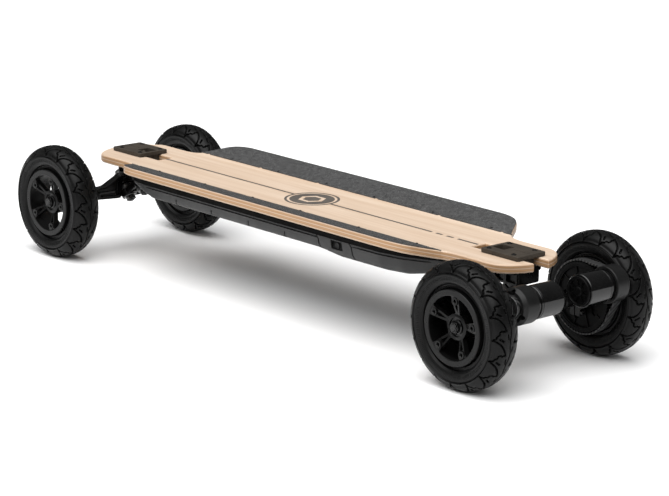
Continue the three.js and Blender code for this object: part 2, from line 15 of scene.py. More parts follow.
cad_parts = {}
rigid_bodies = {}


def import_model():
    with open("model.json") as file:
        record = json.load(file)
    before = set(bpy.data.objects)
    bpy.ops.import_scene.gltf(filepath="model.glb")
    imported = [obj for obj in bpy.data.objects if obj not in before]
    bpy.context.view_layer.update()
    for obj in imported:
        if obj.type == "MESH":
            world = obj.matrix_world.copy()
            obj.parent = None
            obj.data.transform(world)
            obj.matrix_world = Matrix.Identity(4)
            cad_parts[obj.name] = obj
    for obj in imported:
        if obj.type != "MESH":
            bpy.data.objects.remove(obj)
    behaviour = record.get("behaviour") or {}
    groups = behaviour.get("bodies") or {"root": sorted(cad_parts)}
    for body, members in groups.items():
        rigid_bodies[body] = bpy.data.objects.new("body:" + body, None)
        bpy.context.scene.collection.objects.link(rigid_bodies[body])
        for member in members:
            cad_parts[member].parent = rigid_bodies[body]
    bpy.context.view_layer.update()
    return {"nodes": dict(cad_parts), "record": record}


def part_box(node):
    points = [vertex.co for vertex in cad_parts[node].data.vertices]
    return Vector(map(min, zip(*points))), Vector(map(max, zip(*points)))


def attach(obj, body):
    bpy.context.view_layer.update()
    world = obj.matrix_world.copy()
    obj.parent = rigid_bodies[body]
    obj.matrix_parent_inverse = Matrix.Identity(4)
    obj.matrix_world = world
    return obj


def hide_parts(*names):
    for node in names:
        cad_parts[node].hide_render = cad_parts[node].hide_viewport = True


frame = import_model()
scene = bpy.context.scene

MM = 0.001
ENDS = {"front": 1, "rear": -1}
SIDES = {"left": 1, "right": -1}


def middle(node):
    low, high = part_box(node)
    return (low + high) / 2


def add_object(name, data):
    made = bpy.data.objects.new(name, data)
    scene.collection.objects.link(made)
    return made


FRONT_AXLE = middle("front_left_tyre").x / MM
REAR_AXLE = middle("rear_left_tyre").x / MM
AXLE_Z = middle("front_left_tyre").z / MM
WHEEL_Y = middle("front_left_tyre").y / MM
MID_X = (FRONT_AXLE + REAR_AXLE) / 2

# ---------------------------------------------------------------- camera, light and floor


def make_camera():
    """The camera looks down the board from behind its left side, with a long lens."""
    azimuth = math.radians(228.072)
    elevation = math.radians(14.348)
    roll = math.radians(0.855)
    distance = 3.5851
    target = Vector((-0.18785 + MID_X * MM, 0.12315, 0.13822))
    level = Vector((math.cos(azimuth), math.sin(azimuth), 0))
    back = Vector((level.y, -level.x, 0)) * math.cos(elevation) + Vector((0, 0, math.sin(elevation)))
    upright = back.cross(level)
    right = math.cos(roll) * level + math.sin(roll) * upright
    up = -math.sin(roll) * level + math.cos(roll) * upright
    data = bpy.data.cameras.new("camera")
    data.sensor_width = 36
    data.lens = 139.645
    data.clip_start = 0.05
    data.clip_end = 60
    scene.camera = add_object("camera", data)
    turn = Matrix((right, up, back)).transposed().to_4x4()
    scene.camera.matrix_world = Matrix.Translation(target + back * distance) @ turn


def area_light(name, place, aim, size, power):
    data = bpy.data.lights.new(name, "AREA")
    data.shape = "RECTANGLE"
    data.size, data.size_y = size
    data.energy = power
    light = add_object(name, data)
    light.location = place
    light.rotation_mode = "QUATERNION"
    light.rotation_quaternion = (Vector(aim) - Vector(place)).to_track_quat("-Z", "Y")


def fill_ramp(node, stops):
    """Sets a colour ramp's stops, each a position and a colour."""
    elements = node.color_ramp.elements
    while len(elements) < len(stops):
        elements.new(0.5)
    for element, (position, colour) in zip(elements, stops):
        element.position = position
        element.color = (*colour, 1)


def make_studio():
    """A soft bright cap overhead, a weak light from the board's right, and an otherwise dark room."""
    world = bpy.data.worlds.new("studio")
    world.use_nodes = True
    tree = world.node_tree
    direction = tree.nodes.new("ShaderNodeTexCoord").outputs["Generated"]
    facing = tree.nodes.new("ShaderNodeVectorMath")
    facing.operation = "DOT_PRODUCT"
    # The world's coordinate runs against the scene's along X and Y, so this cap lies towards (0.12, -0.36).
    facing.inputs[1].default_value = Vector((-0.12, 0.36, 0.92)).normalized()
    tree.links.new(direction, facing.inputs[0])
    ramp = tree.nodes.new("ShaderNodeValToRGB")
    levels = ((0.0, 0.017), (0.62, 0.03), (0.77, 0.3), (0.90, 0.74), (1.0, 0.84))
    fill_ramp(ramp, [(position, grey(level)) for position, level in levels])
    tree.links.new(facing.outputs["Value"], ramp.inputs["Fac"])
    background = tree.nodes["Background"]
    tree.links.new(ramp.outputs["Color"], background.inputs["Color"])
    background.inputs["Strength"].default_value = 5.5
    scene.world = world
    scene.view_settings.view_transform = "Standard"
    area_light("front_fill", (-0.6, -4.2, 1.5), (0, 0, 0.1), (3.0, 1.4), 8)

    mesh = bpy.data.meshes.new("floor")
    half = 14
    mesh.from_pydata([(-half, -half, 0), (half, -half, 0), (half, half, 0), (-half, half, 0)], [],
                     [(0, 1, 2, 3)])
    mesh.materials.append(plain_material("floor_paper", grey(0.95), 0.8))
    floor = add_object("floor", mesh)


# ---------------------------------------------------------------- materials


def plain_material(name, colour, roughness, metallic=0.0, sheen=0.5):
    made = bpy.data.materials.new(name)
    made.use_nodes = True
    shader = made.node_tree.nodes["Principled BSDF"]
    shader.inputs["Base Color"].default_value = (*colour, 1)
    shader.inputs["Roughness"].default_value = roughness
    shader.inputs["Metallic"].default_value = metallic
    shader.inputs["Specular IOR Level"].default_value = sheen
    return made


class Nodes:
    """Short calls for building one material's node tree."""

    def __init__(self, *look):
        self.made = plain_material(*look)
        self.tree = self.made.node_tree
        self.shader = self.tree.nodes["Principled BSDF"]

    def add(self, kind, values=None, **settings):
        node = self.tree.nodes.new(kind)
        for key, value in settings.items():
            setattr(node, key, value)
        for key, value in (values or {}).items():
            if isinstance(value, bpy.types.NodeSocket):
                self.tree.links.new(value, node.inputs[key])
            else:
                node.inputs[key].default_value = value
        return node

    def place(self, scale=(1, 1, 1)):
        coordinates = self.add("ShaderNodeTexCoord").outputs["Object"]
        mapping = self.add("ShaderNodeMapping", {"Vector": coordinates})
        mapping.inputs["Scale"].default_value = scale
        return mapping.outputs["Vector"]

    def noise(self, scale, detail=3.0, stretch=(1, 1, 1), roughness=0.5):
        values = {"Vector": self.place(stretch), "Scale": scale, "Detail": detail, "Roughness": roughness}
        return self.add("ShaderNodeTexNoise", values).outputs["Fac"]

    def ramp(self, factor, stops):
        node = self.add("ShaderNodeValToRGB", {"Fac": factor})
        fill_ramp(node, stops)
        return node.outputs["Color"]

    def mix(self, factor, first, second):
        """Blends two colours, each a socket or three numbers. The colour sockets are inputs 6 and 7."""
        ends = [value if isinstance(value, bpy.types.NodeSocket) else (*value, 1)
                for value in (first, second)]
        return self.add("ShaderNodeMix", {0: factor, 6: ends[0], 7: ends[1]}, data_type="RGBA").outputs[2]

    def math(self, operation, first, second=0.0):
        return self.add("ShaderNodeMath", {0: first, 1: second}, operation=operation).outputs[0]

    def bump(self, height, distance, strength=1.0, under=None):
        values = {"Height": height, "Distance": distance, "Strength": strength}
        if under is not None:
            values["Normal"] = under
        return self.add("ShaderNodeBump", values).outputs["Normal"]

    def finish(self, colour, roughness, normal):
        for key, value in (("Base Color", colour), ("Roughness", roughness), ("Normal", normal)):
            self.tree.links.new(value, self.shader.inputs[key])
        return self.made


def grey(value, warmth=0.0):
    return (value * (1 + warmth), value, value * (1 - warmth))


def greys(start, dark, end, light, warmth=0.0):
    """A ramp's two stops, from one grey to another."""
    return [(start, grey(dark, warmth)), (end, grey(light, warmth))]


def moulded_material(name, level, roughness, grain=900, depth=0.00006, sheen=0.25, warmth=0.0, spread=0.25):
    """Moulded plastic, cast metal or rubber: fine surface grain, cloudy tone and uneven gloss."""
    n = Nodes(name, grey(level, warmth), roughness, 0.0, sheen)
    cloud = n.noise(24, 4)
    fine = n.noise(grain, 2)
    colour = n.ramp(cloud, greys(0.3, level * (1 - spread), 0.7, level * (1 + spread), warmth))
    gloss = n.ramp(n.noise(60, 5), greys(0.3, max(0.05, roughness - 0.07), 0.7, roughness + 0.07))
    return n.finish(colour, gloss, n.bump(fine, depth))


def wood_material():
    """Light bamboo with long fine grain on the faces, and plies and glue lines on the cut edges."""
    n = Nodes("bamboo_laminate", (0.66, 0.47, 0.34), 0.42, 0.0, 0.3)
    strips = n.noise(9, 2, (0.5, 14, 1))
    fibre = n.noise(60, 6, (0.35, 16, 4), 0.65)
    fleck = n.noise(140, 3, (0.5, 10, 2))
    face = n.ramp(fibre, [(0.25, (0.52, 0.385, 0.28)), (0.5, (0.595, 0.46, 0.35)),
                          (0.8, (0.645, 0.505, 0.395))])
    face = n.mix(0.45, face, n.ramp(strips, [(0.35, (0.525, 0.38, 0.265)), (0.65, (0.665, 0.54, 0.425))]))
    face = n.mix(n.ramp(fleck, greys(0.62, 0.0, 0.72, 0.28)), face, (0.48, 0.34, 0.23))

    depth = n.add("ShaderNodeAttribute", attribute_name="ply").outputs["Fac"]
    wander = n.noise(7, 2, (1, 1, 1))
    level = n.math("ADD", depth, n.math("MULTIPLY", n.math("SUBTRACT", wander, 0.5), 0.05))
    light = (0.50, 0.36, 0.25)
    dark = (0.17, 0.065, 0.025)
    mid = (0.42, 0.24, 0.11)
    stops = [(0.0, light), (0.15, light), (0.19, dark), (0.24, mid), (0.32, mid), (0.36, dark), (0.41, light)]
    stops += [(0.53, light), (0.57, dark), (0.62, mid), (0.70, mid), (0.75, dark), (0.81, light),
              (1.0, light)]
    edge = n.ramp(level, stops)
    edge = n.mix(0.18, edge, n.ramp(n.noise(220, 4, (0.25, 1, 3)), [(0.3, (0.55, 0.34, 0.17)), (0.7, light)]))
    on_edge = n.add("ShaderNodeAttribute", attribute_name="edge").outputs["Fac"]
    colour = n.mix(on_edge, face, edge)
    gloss = n.ramp(fibre, greys(0.3, 0.36, 0.7, 0.5))
    return n.finish(colour, gloss, n.bump(fibre, 0.00012, 0.6))


def grit_material():
    """Dark grip tape, with glints of its hard grains painted into the colour as bright flecks here and there.
    """
    n = Nodes("grip_grit", grey(0.05), 0.75, 0.0, 0.25)
    grains = n.add("ShaderNodeTexVoronoi", {"Vector": n.place(), "Scale": 900.0}, feature="F1")
    # Painted glints: bright grey flecks mixed into the base colour stand in for grains catching the light.
    painted_glint = n.ramp(n.noise(1400, 1), greys(0.60, 0.0, 0.72, 1.0))
    cloud = n.ramp(n.noise(160, 4), greys(0.3, 0.024, 0.7, 0.066))
    colour = n.mix(painted_glint, cloud, grey(0.22))
    gloss = n.ramp(n.noise(1100, 1), greys(0.5, 0.85, 0.7, 0.4))
    return n.finish(colour, gloss, n.bump(grains.outputs["Distance"], 0.0006, 0.9))


def tyre_material():
    """Soft black rubber with dusty sidewalls and fine moulding marks."""
    n = Nodes("tyre_compound", grey(0.022), 0.62, 0.0, 0.15)
    cloud = n.noise(40, 5)
    colour = n.ramp(cloud, greys(0.3, 0.002, 0.7, 0.005))
    gloss = n.ramp(n.noise(90, 4), greys(0.3, 0.27, 0.7, 0.42))
    mould = n.bump(n.noise(1500, 2), 0.00005)
    return n.finish(colour, gloss, n.bump(n.noise(260, 3), 0.00012, 0.6, mould))


def brushed_material(name, level, roughness, stretch):
    """Turned or plated steel with fine marks along one direction."""
    n = Nodes(name, grey(level), roughness, 1.0)
    marks = n.noise(300, 3, stretch)
    colour = n.ramp(marks, greys(0.3, level * 0.8, 0.7, min(1, level * 1.15)))
    gloss = n.ramp(marks, greys(0.3, roughness - 0.08, 0.7, roughness + 0.1))
    return n.finish(colour, gloss, n.bump(marks, 0.00003))


def belt_material():
    """Ribbed belt rubber with slanted cloth marks across its back."""
    n = Nodes("belt_rubber", grey(0.05), 0.42, 0.0, 0.25)
    coordinates = n.add("ShaderNodeTexCoord").outputs["Object"]
    mapping = n.add("ShaderNodeMapping", {"Vector": coordinates})
    mapping.inputs["Rotation"].default_value = (0, 0, math.radians(38))
    marks = n.add("ShaderNodeTexWave", {"Vector": mapping.outputs["Vector"], "Scale": 70.0,
                                        "Distortion": 0.6}, wave_type="BANDS",
                  bands_direction="X").outputs["Fac"]
    colour = n.ramp(marks, greys(0.35, 0.006, 0.6, 0.05))
    gloss = n.ramp(n.noise(120, 3), greys(0.3, 0.36, 0.7, 0.5))
    return n.finish(colour, gloss, n.bump(marks, 0.0002))


WOOD = wood_material()
GRIT = grit_material()
TYRE = tyre_material()
RIM = moulded_material("rim_moulding", 0.003, 0.32, sheen=0.2)
SHELL = moulded_material("enclosure_moulding", 0.025, 0.42, sheen=0.26)
SEAL = moulded_material("seal_rubber", 0.004, 0.7, sheen=0.06)
TRIM = moulded_material("trim_plastic", 0.002, 0.42, sheen=0.07)
KEY = moulded_material("button_key", 0.008, 0.42, sheen=0.2)
ANODISED = moulded_material("black_anodised", 0.002, 0.30, 1400, 0.00003, 0.14)
MOUNT = moulded_material("mount_satin", 0.006, 0.38, 1600, 0.00003, 0.22)
GLOSS = moulded_material("gloss_can", 0.003, 0.09, 1500, 0.000002, 0.4)
PLATE = moulded_material("plate_blasted", 0.036, 0.48, 1800, 0.00005, 0.22, 0.22)
URETHANE = moulded_material("bushing_urethane", 0.015, 0.35, 700, 0.00002, 0.4)
BELT = belt_material()
INK = moulded_material("printed_ink", 0.085, 0.5, 1200, 0.00002, 0.2, 0.12)
ZINC = brushed_material("zinc_plate", 0.38, 0.32, (1, 1, 1))
DARK_STEEL = brushed_material("blackened_steel", 0.045, 0.34, (1, 1, 1))
PINION = brushed_material("pinion_steel", 0.30, 0.36, (6, 1, 6))
CELLS = moulded_material("cell_wrap", 0.10, 0.35, sheen=0.5)
BOARD = moulded_material("circuit_lacquer", 0.08, 0.4, sheen=0.5)

# ---------------------------------------------------------------- shapes


def build(name, verts, faces, material, sharp=35):
    """An object from points in millimetres, smooth except where faces meet at more than `sharp` degrees."""
    mesh = bpy.data.meshes.new(name)
    mesh.from_pydata([Vector(v) * MM for v in verts], [], faces)
    mesh.materials.append(material)
    tidy(mesh, sharp)
    return add_object(name, mesh)


def tidy(mesh, sharp):
    grid = bmesh.new()
    grid.from_mesh(mesh)
    bmesh.ops.remove_doubles(grid, verts=grid.verts, dist=0.000002)
    bmesh.ops.recalc_face_normals(grid, faces=grid.faces)
    for face in grid.faces:
        face.smooth = True
    grid.to_mesh(mesh)
    grid.free()
    mesh.set_sharp_from_angle(angle=math.radians(sharp))


def settle(made):
    """Applies the object's modifiers, so that its mesh is final."""
    graph = bpy.context.evaluated_depsgraph_get()
    mesh = bpy.data.meshes.new_from_object(made.evaluated_get(graph))
    old = made.data
    made.modifiers.clear()
    made.data = mesh
    bpy.data.meshes.remove(old)


def combine(made, tools, operation, sharp=35):
    """Cuts the tools from the object or joins them to it. The tools are used up."""
    for tool in tools:
        modifier = made.modifiers.new("combine", "BOOLEAN")
        modifier.operation = operation
        modifier.solver = "MANIFOLD"
        modifier.object = tool
    settle(made)
    for tool in tools:
        bpy.data.objects.remove(tool)
    tidy(made.data, sharp)
    return made


def cut(made, *tools):
    return combine(made, tools, "DIFFERENCE")


def join(made, *tools):
    return combine(made, tools, "UNION")


def flatten_shading(made):
    """Lets large faces set the normals at their rounded edges, so that flat faces look flat."""
    old = made.data
    if "shaded" in old:
        return
    modifier = made.modifiers.new("weigh", "WEIGHTED_NORMAL")
    modifier.keep_sharp = True
    modifier.weight = 100
    mesh = bpy.data.meshes.new_from_object(made.evaluated_get(bpy.context.evaluated_depsgraph_get()))
    made.modifiers.clear()
    mesh["shaded"] = 1
    for user in bpy.data.objects:
        if user.data == old:
            user.data = mesh
    bpy.data.meshes.remove(old)


def put(made, body, replaced=(), at=(0, 0, 0), turned=False, name=None):
    """Places a finished piece: `at` in millimetres, turned half round for rear or right-hand copies."""
    flatten_shading(made)
    if name is not None:
        made.name = name
    turn = Matrix.Rotation(math.pi, 4, "Z") if turned else Matrix.Identity(4)
    made.matrix_world = Matrix.Translation(Vector(at) * MM) @ turn
    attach(made, body)
    if replaced:
        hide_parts(*replaced)
    return made


def copy_of(made, name):
    return add_object(name, made.data)


def fillet(points, radius, steps=4, closed=True):
    """The polyline with each corner rounded, as far as its neighbours allow."""
    count = len(points)
    made = []
    for k, corner in enumerate(points):
        if not closed and k in (0, count - 1):
            made.append(tuple(corner))
            continue
        here = Vector(corner[:2])
        back = Vector(points[k - 1][:2]) - here
        ahead = Vector(points[(k + 1) % count][:2]) - here
        own = corner[2] if len(corner) > 2 else radius
        turn = math.pi - back.angle(ahead)
        reach = own * math.tan(turn / 2)
        limit = 0.48 * min(back.length, ahead.length)
        if reach < 1e-4 or own <= 0:
            made.append((here.x, here.y))
            continue
        reach = min(reach, limit)
        start = here + back.normalized() * reach
        end = here + ahead.normalized() * reach
        for step in range(steps + 1):
            t = step / steps
            point = start * (1 - t) ** 2 + here * 2 * t * (1 - t) + end * t ** 2
            made.append((point.x, point.y))
    return made


def circle(radius, steps=48, centre=(0, 0), start=0.0):
    turns = [start + 2 * math.pi * k / steps for k in range(steps)]
    return [(centre[0] + radius * math.cos(a), centre[1] + radius * math.sin(a)) for a in turns]


def signed_area(loop):
    return sum(a[0] * b[1] - b[0] * a[1] for a, b in zip(loop, loop[1:] + loop[:1])) / 2


def inset_loop(loop, distance):
    """Moves each point of a loop towards its left-hand side."""
    made = []
    for k, point in enumerate(loop):
        here = Vector(point)
        back = (here - Vector(loop[k - 1])).normalized()
        ahead = (Vector(loop[(k + 1) % len(loop)]) - here).normalized()
        across = Vector((-(back + ahead).y, (back + ahead).x))
        if across.length < 1e-6:
            across = Vector((-ahead.y, ahead.x))
        across.normalize()
        slope = max(0.4, across.dot(Vector((-ahead.y, ahead.x))))
        made.append(tuple(here + across * (distance / slope)))
    return made


AXES = {"z": lambda a, b, c: (a, b, c), "y": lambda a, b, c: (a, c, b), "x": lambda a, b, c: (c, a, b)}
CORE = 0.01  # the radius left open at the middle of a solid turned piece


def plate(name, loops, low, high, material, bevel=0.0, axis="z", steps=3, sharp=35):
    """A flat piece: the first loop is its outline and the rest are holes. All edges are rounded."""
    spot = AXES[axis]
    rounded = []
    for k, loop in enumerate(loops):
        wanted = 1 if k == 0 else -1
        rounded.append(loop if signed_area(loop) * wanted > 0 else loop[::-1])
    curve = [(0.0, 0.0)]
    if bevel > 0:
        turns = [math.pi / 2 * k / steps for k in range(steps + 1)]
        curve = [(bevel * (1 - math.sin(t)), bevel * (1 - math.cos(t))) for t in turns]
    layers = [(inset, low + rise) for inset, rise in curve]
    layers += [(inset, high - rise) for inset, rise in reversed(curve)]
    verts, faces, first_ring, last_ring = [], [], [], []
    for loop in rounded:
        rings = []
        for inset, height in layers:
            ring = inset_loop(loop, inset) if inset > 1e-6 else loop
            rings.append(range(len(verts), len(verts) + len(ring)))
            verts += [spot(a, b, height) for a, b in ring]
        for lower, upper in zip(rings, rings[1:]):
            for k in range(len(loop)):
                nxt = (k + 1) % len(loop)
                faces.append((lower[k], lower[nxt], upper[nxt], upper[k]))
        first_ring.append((rings[0], inset_loop(loop, layers[0][0]) if layers[0][0] > 1e-6 else loop))
        last_ring.append((rings[-1], inset_loop(loop, layers[-1][0]) if layers[-1][0] > 1e-6 else loop))
    for rings in (first_ring, last_ring):
        order = [index for ring, _ in rings for index in ring]
        flat = [[Vector((a, b, 0)) for a, b in points] for _, points in rings]
        faces += [tuple(order[k] for k in triangle) for triangle in tessellate_polygon(flat)]
    return build(name, verts, faces, material, sharp)


def band(outer, low, high, inner=CORE):
    """The profile of a plain disc, rod or ring."""
    return [(inner, low), (outer, low), (outer, high), (inner, high)]


def lathe(name, profile, material, segments=64, sharp=35, round_to=0.0):
    """A turned piece about Y. Profile points are (radius, y) and may give their own corner radius."""
    if round_to > 0:
        profile = fillet(profile, round_to, 3)
    verts, faces = [], []
    count = len(profile)
    for k in range(segments):
        angle = 2 * math.pi * k / segments
        verts += [(p[0] * math.sin(angle), p[1], p[0] * math.cos(angle)) for p in profile]
    for k in range(segments):
        nxt = (k + 1) % segments
        for j in range(count):
            step = (j + 1) % count
            faces.append((k * count + j, k * count + step, nxt * count + step, nxt * count + j))
    return build(name, verts, faces, material, sharp)


def spin(made, angle, axis="Y", about=(0, 0, 0)):
    """Turns an object's mesh in place about a line, angle in radians, point in millimetres."""
    centre = Vector(about) * MM
    turn = Matrix.Rotation(angle, 4, axis)
    made.data.transform(Matrix.Translation(centre) @ turn @ Matrix.Translation(-centre))
    return made


def shift(made, offset):
    made.data.transform(Matrix.Translation(Vector(offset) * MM))
    return made


def aim(made, direction, at):
    """Turns a piece that was made about Y so that it points along a direction, and moves it to a point."""
    turn = Vector((0, 1, 0)).rotation_difference(Vector(direction)).to_matrix().to_4x4()
    made.data.transform(Matrix.Translation(Vector(at) * MM) @ turn)
    return made


# ---------------------------------------------------------------- deck

DECK_LOW, DECK_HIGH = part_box("deck")
DECK_TOP = 155.0
DECK_THICKNESS = 12.5
DECK_HALF = (DECK_HIGH.x - DECK_LOW.x) / 2 / MM
DECK_WIDE = DECK_HIGH.y / MM
FLAT_HALF = 48.0
WING_START = 76.0
WING_SLOPE = 0.2258
SLOT_HALF = 13.5
SLOT_INNER = 346.0
GRIP_INNER = 68.4
GRIP_END = 345.0


def deck_rise(y):
    """How far the deck's upper surface lies above its flat middle."""
    outward = abs(y)
    if outward <= FLAT_HALF:
        return 0.0
    bend = WING_START - FLAT_HALF
    curvature = WING_SLOPE / (2 * bend)
    if outward <= WING_START:
        return curvature * (outward - FLAT_HALF) ** 2
    return curvature * bend ** 2 + WING_SLOPE * (outward - WING_START)


def cubic(start, control1, control2, end, steps):
    points = []
    for k in range(steps + 1):
        t = k / steps
        weights = ((1 - t) ** 3, 3 * t * (1 - t) ** 2, 3 * t * t * (1 - t), t ** 3)
        points.append(tuple(sum(w * p[axis] for w, p in zip(weights, (start, control1, control2, end)))
                            for axis in (0, 1)))
    return points


def deck_quarter(inset):
    wide, nose, neck = DECK_WIDE - inset, DECK_HALF - inset, 61.5 - inset
    runs = [
        cubic((nose, SLOT_HALF + 1), (nose - 4, 34), (nose - 20, neck), (nose - 43, neck), 14),
        cubic((380, neck - 0.5), (362, neck - 0.5), (352, neck + 1), (345 - inset, neck + 5), 10),
        cubic((345 - inset, neck + 5), (336 - inset, neck + 10), (327 - inset, 90), (318 - inset, 102), 10),
        cubic((318 - inset, 102), (310 - inset, 112 - inset), (296 - inset, wide), (268, wide), 14),
    ]
    points = []
    for run in runs:
        points += run if not points or math.dist(points[-1], run[0]) > 0.01 else run[1:]
    return points


def both_sides(quarter, slot_inner=None):
    """The whole outline from its first quarter, front left."""
    start = [] if slot_inner is None else [(slot_inner, SLOT_HALF), (DECK_HALF - 0.7, SLOT_HALF)]
    quarter = start + quarter
    back = quarter[::-1]
    return (quarter + [(-x, y) for x, y in back]
            + [(-x, -y) for x, y in quarter] + [(x, -y) for x, y in back])


def follow_deck(made, thickness_from):
    """Bends a flat piece, made at the height of the deck's middle, to the deck's raised edges."""
    grid = bmesh.new()
    grid.from_mesh(made.data)
    lines = [s * y for y in np.linspace(FLAT_HALF, WING_START, 9) for s in (1, -1)] + [100.0, -100.0]
    for y in lines:
        whole = grid.verts[:] + grid.edges[:] + grid.faces[:]
        bmesh.ops.bisect_plane(grid, geom=whole, plane_co=(0, y * MM, 0), plane_no=(0, 1, 0), dist=1e-7)
    ply = grid.verts.layers.float.new("ply")
    for vert in grid.verts:
        vert[ply] = (thickness_from - vert.co.z / MM) / DECK_THICKNESS
        vert.co.z += deck_rise(vert.co.y / MM) * MM
    grid.to_mesh(made.data)
    grid.free()
    made.data.set_sharp_from_angle(angle=math.radians(35))


def mark_edges(made):
    """Writes 1 on the cut edge's faces and 0 on the upper and lower faces, for the wood's plies."""
    mesh = made.data
    layer = mesh.attributes.new("edge", "FLOAT", "CORNER")
    values = np.zeros(len(mesh.loops), np.float32)
    for polygon in mesh.polygons:
        if abs(polygon.normal.z) < 0.75:
            values[polygon.loop_start:polygon.loop_start + polygon.loop_total] = 1
    layer.data.foreach_set("value", values)


def make_deck():
    outline = both_sides(deck_quarter(0), SLOT_INNER)
    deck = plate("wood_deck", [outline], DECK_TOP - DECK_THICKNESS, DECK_TOP, WOOD, 2.6, steps=5)
    follow_deck(deck, DECK_TOP)
    mark_edges(deck)
    put(deck, "deck", ["deck"], (MID_X, 0, 0))


def make_grip(side, sign):
    outer = [(x, y) for x, y in deck_quarter(0.8) if y > GRIP_INNER and x < GRIP_END]
    inner = []
    notches = (-322, -196, -64, 66, 198, 324)
    for x in notches:
        inner += [(x - 3.2, GRIP_INNER), (x - 2.2, GRIP_INNER + 1.8), (x + 2.2, GRIP_INNER + 1.8),
                  (x + 3.2, GRIP_INNER)]
    half = [(GRIP_END - 2, GRIP_INNER)] + outer
    loop = [*inner, *half, *[(-x, y) for x, y in half[::-1]]]
    loop = [(x, sign * y) for x, y in loop]
    grip = plate("grip_" + side, [loop], DECK_TOP + 0.05, DECK_TOP + 1.1, GRIT, 0.25, steps=2)
    follow_deck(grip, DECK_TOP)
    put(grip, "deck", ["grip_tape_" + side], (MID_X, 0, 0))


def make_print():
    """The printed stripe along the deck, and a plain round mark with a hexagon in the middle."""
    low, high = DECK_TOP + 0.02, DECK_TOP + 0.14
    runs = [(41, 344, 2.1), (-253, -41, 2.1), (-274, -262, 2.1), (-296, -283, 2.1), (-344, -305, 2.1)]
    shapes = []
    for start, end, half in runs:
        shapes.append([[(start, -half), (end, -half), (end, half), (start, half)]])
    shapes.append([circle(41, 96), circle(37.2, 96)])
    shapes.append([circle(33.5, 96), circle(21, 6)])
    shapes.append([circle(14, 6)])
    for k, loops in enumerate(shapes):
        printed = plate(f"deck_print_{k}", loops, low, high, INK)
        put(printed, "deck", (), (MID_X, 0, 0))


# ---------------------------------------------------------------- tyres

TYRE_RADIUS = (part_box("front_left_tyre")[1].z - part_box("front_left_tyre")[0].z) / 2 / MM
TREAD_REPEATS = 16
TREAD_PITCH = 2 * math.pi * TYRE_RADIUS / TREAD_REPEATS
TREAD_EDGE = 27.5
GROOVE_DEPTH = 3.2
SIDEWALL_RIBS = 176
TYRE_STEPS = TREAD_REPEATS * 50

# One pitch of one half of the tread, as (distance round the tyre, distance from its middle).
SWEEP = ((0, 28.4), (0.4, 24), (1.6, 20.2), (4.4, 16.2), (8.5, 12.6), (13, 9.8), (17.5, 7.6), (21.6, 6.0))
HOOK = ((21.6, 6.0), (20.6, 9.4), (22.2, 10.6), (20.6, 13.6), (22.0, 16.6), (26.4, 17.4), (27.2, 20.2),
        (31.6, 22.0), (32.2, 24.8), (34.3, 28.4))
SLIT = ((31.6, 16.6), (35.2, 11.2))
SHORT_SLIT = ((27.0, 4.4), (33.5, 3.4))
MIDDLE = ((0, 1.0), (9.2, 0.7), (17.2, -1.0), (26.4, -0.7), (34.4, 1.0))


def tyre_section():
    """Half of the tyre's outer section, from the middle of the tread to the bead, as (radius, y)."""
    knots = [(87.5, -5.2), (87.5, 0), (87.2, 5.2), (86.1, 10.6), (83.8, 15.6), (80.2, 19.4), (76.2, 21.3),
             (75.0, 22.5), (73.4, 22.5), (68.5, 22.3), (62.5, 21.2), (59.0, 19.4), (56.4, 17.4), (54.3, 16.3),
             (53.0, 16.0), (52.3, 14.0)]
    points = []
    for k in range(1, len(knots) - 2):
        a, b, c, d = (Vector(p) for p in knots[k - 1:k + 3])
        for step in range(12):
            t = step / 12
            points.append(0.5 * ((2 * b) + (c - a) * t + (2 * a - 5 * b + 4 * c - d) * t * t
                                 + (3 * b - a - 3 * c + d) * t ** 3))
    points.append(Vector(knots[-2]))
    return points


def resample(points, steps_at):
    lengths = [0.0]
    for a, b in zip(points, points[1:]):
        lengths.append(lengths[-1] + (b - a).length)
    xs = np.interp(steps_at, lengths, [p.x for p in points])
    ys = np.interp(steps_at, lengths, [p.y for p in points])
    return xs, ys, lengths[-1]


def distance_to_line(points, line):
    """Shortest distance from each (u, v) point to a polyline."""
    nearest = np.full(len(points), 1e9)
    for (ax, ay), (bx, by) in zip(line, line[1:]):
        direction = np.array([bx - ax, by - ay])
        u, v = points[:, 0] - ax, points[:, 1] - ay
        along = np.clip((u * direction[0] + v * direction[1]) / (direction @ direction), 0, 1)
        gap = np.hypot(u - along * direction[0], v - along * direction[1])
        nearest = np.minimum(nearest, gap)
    return nearest


def groove_depth(around, across):
    """Depth of the tread's grooves. Each half repeats the same lines, half a pitch apart."""
    total = np.zeros(len(around))
    for side in (1, -1):
        u = (around + (TREAD_PITCH / 2 if side < 0 else 0)) % TREAD_PITCH
        points = np.column_stack([u, across * side])
        for wrap in (-TREAD_PITCH, 0, TREAD_PITCH):
            for line, half_width, depth in ((SWEEP, 0.85, 1.0), (HOOK, 0.75, 1.0), (SLIT, 0.95, 1.0),
                                            (SHORT_SLIT, 0.7, 0.8), (MIDDLE, 0.55, 0.8)):
                if line is MIDDLE and side < 0:
                    continue
                gap = distance_to_line(points, [(wrap + x, y) for x, y in line])
                total = np.maximum(total, depth * np.clip((half_width + 0.4 - gap) / 0.6, 0, 1))
    return total * np.clip((TREAD_EDGE + 0.9 - np.abs(across)) / 0.7, 0, 1) * GROOVE_DEPTH


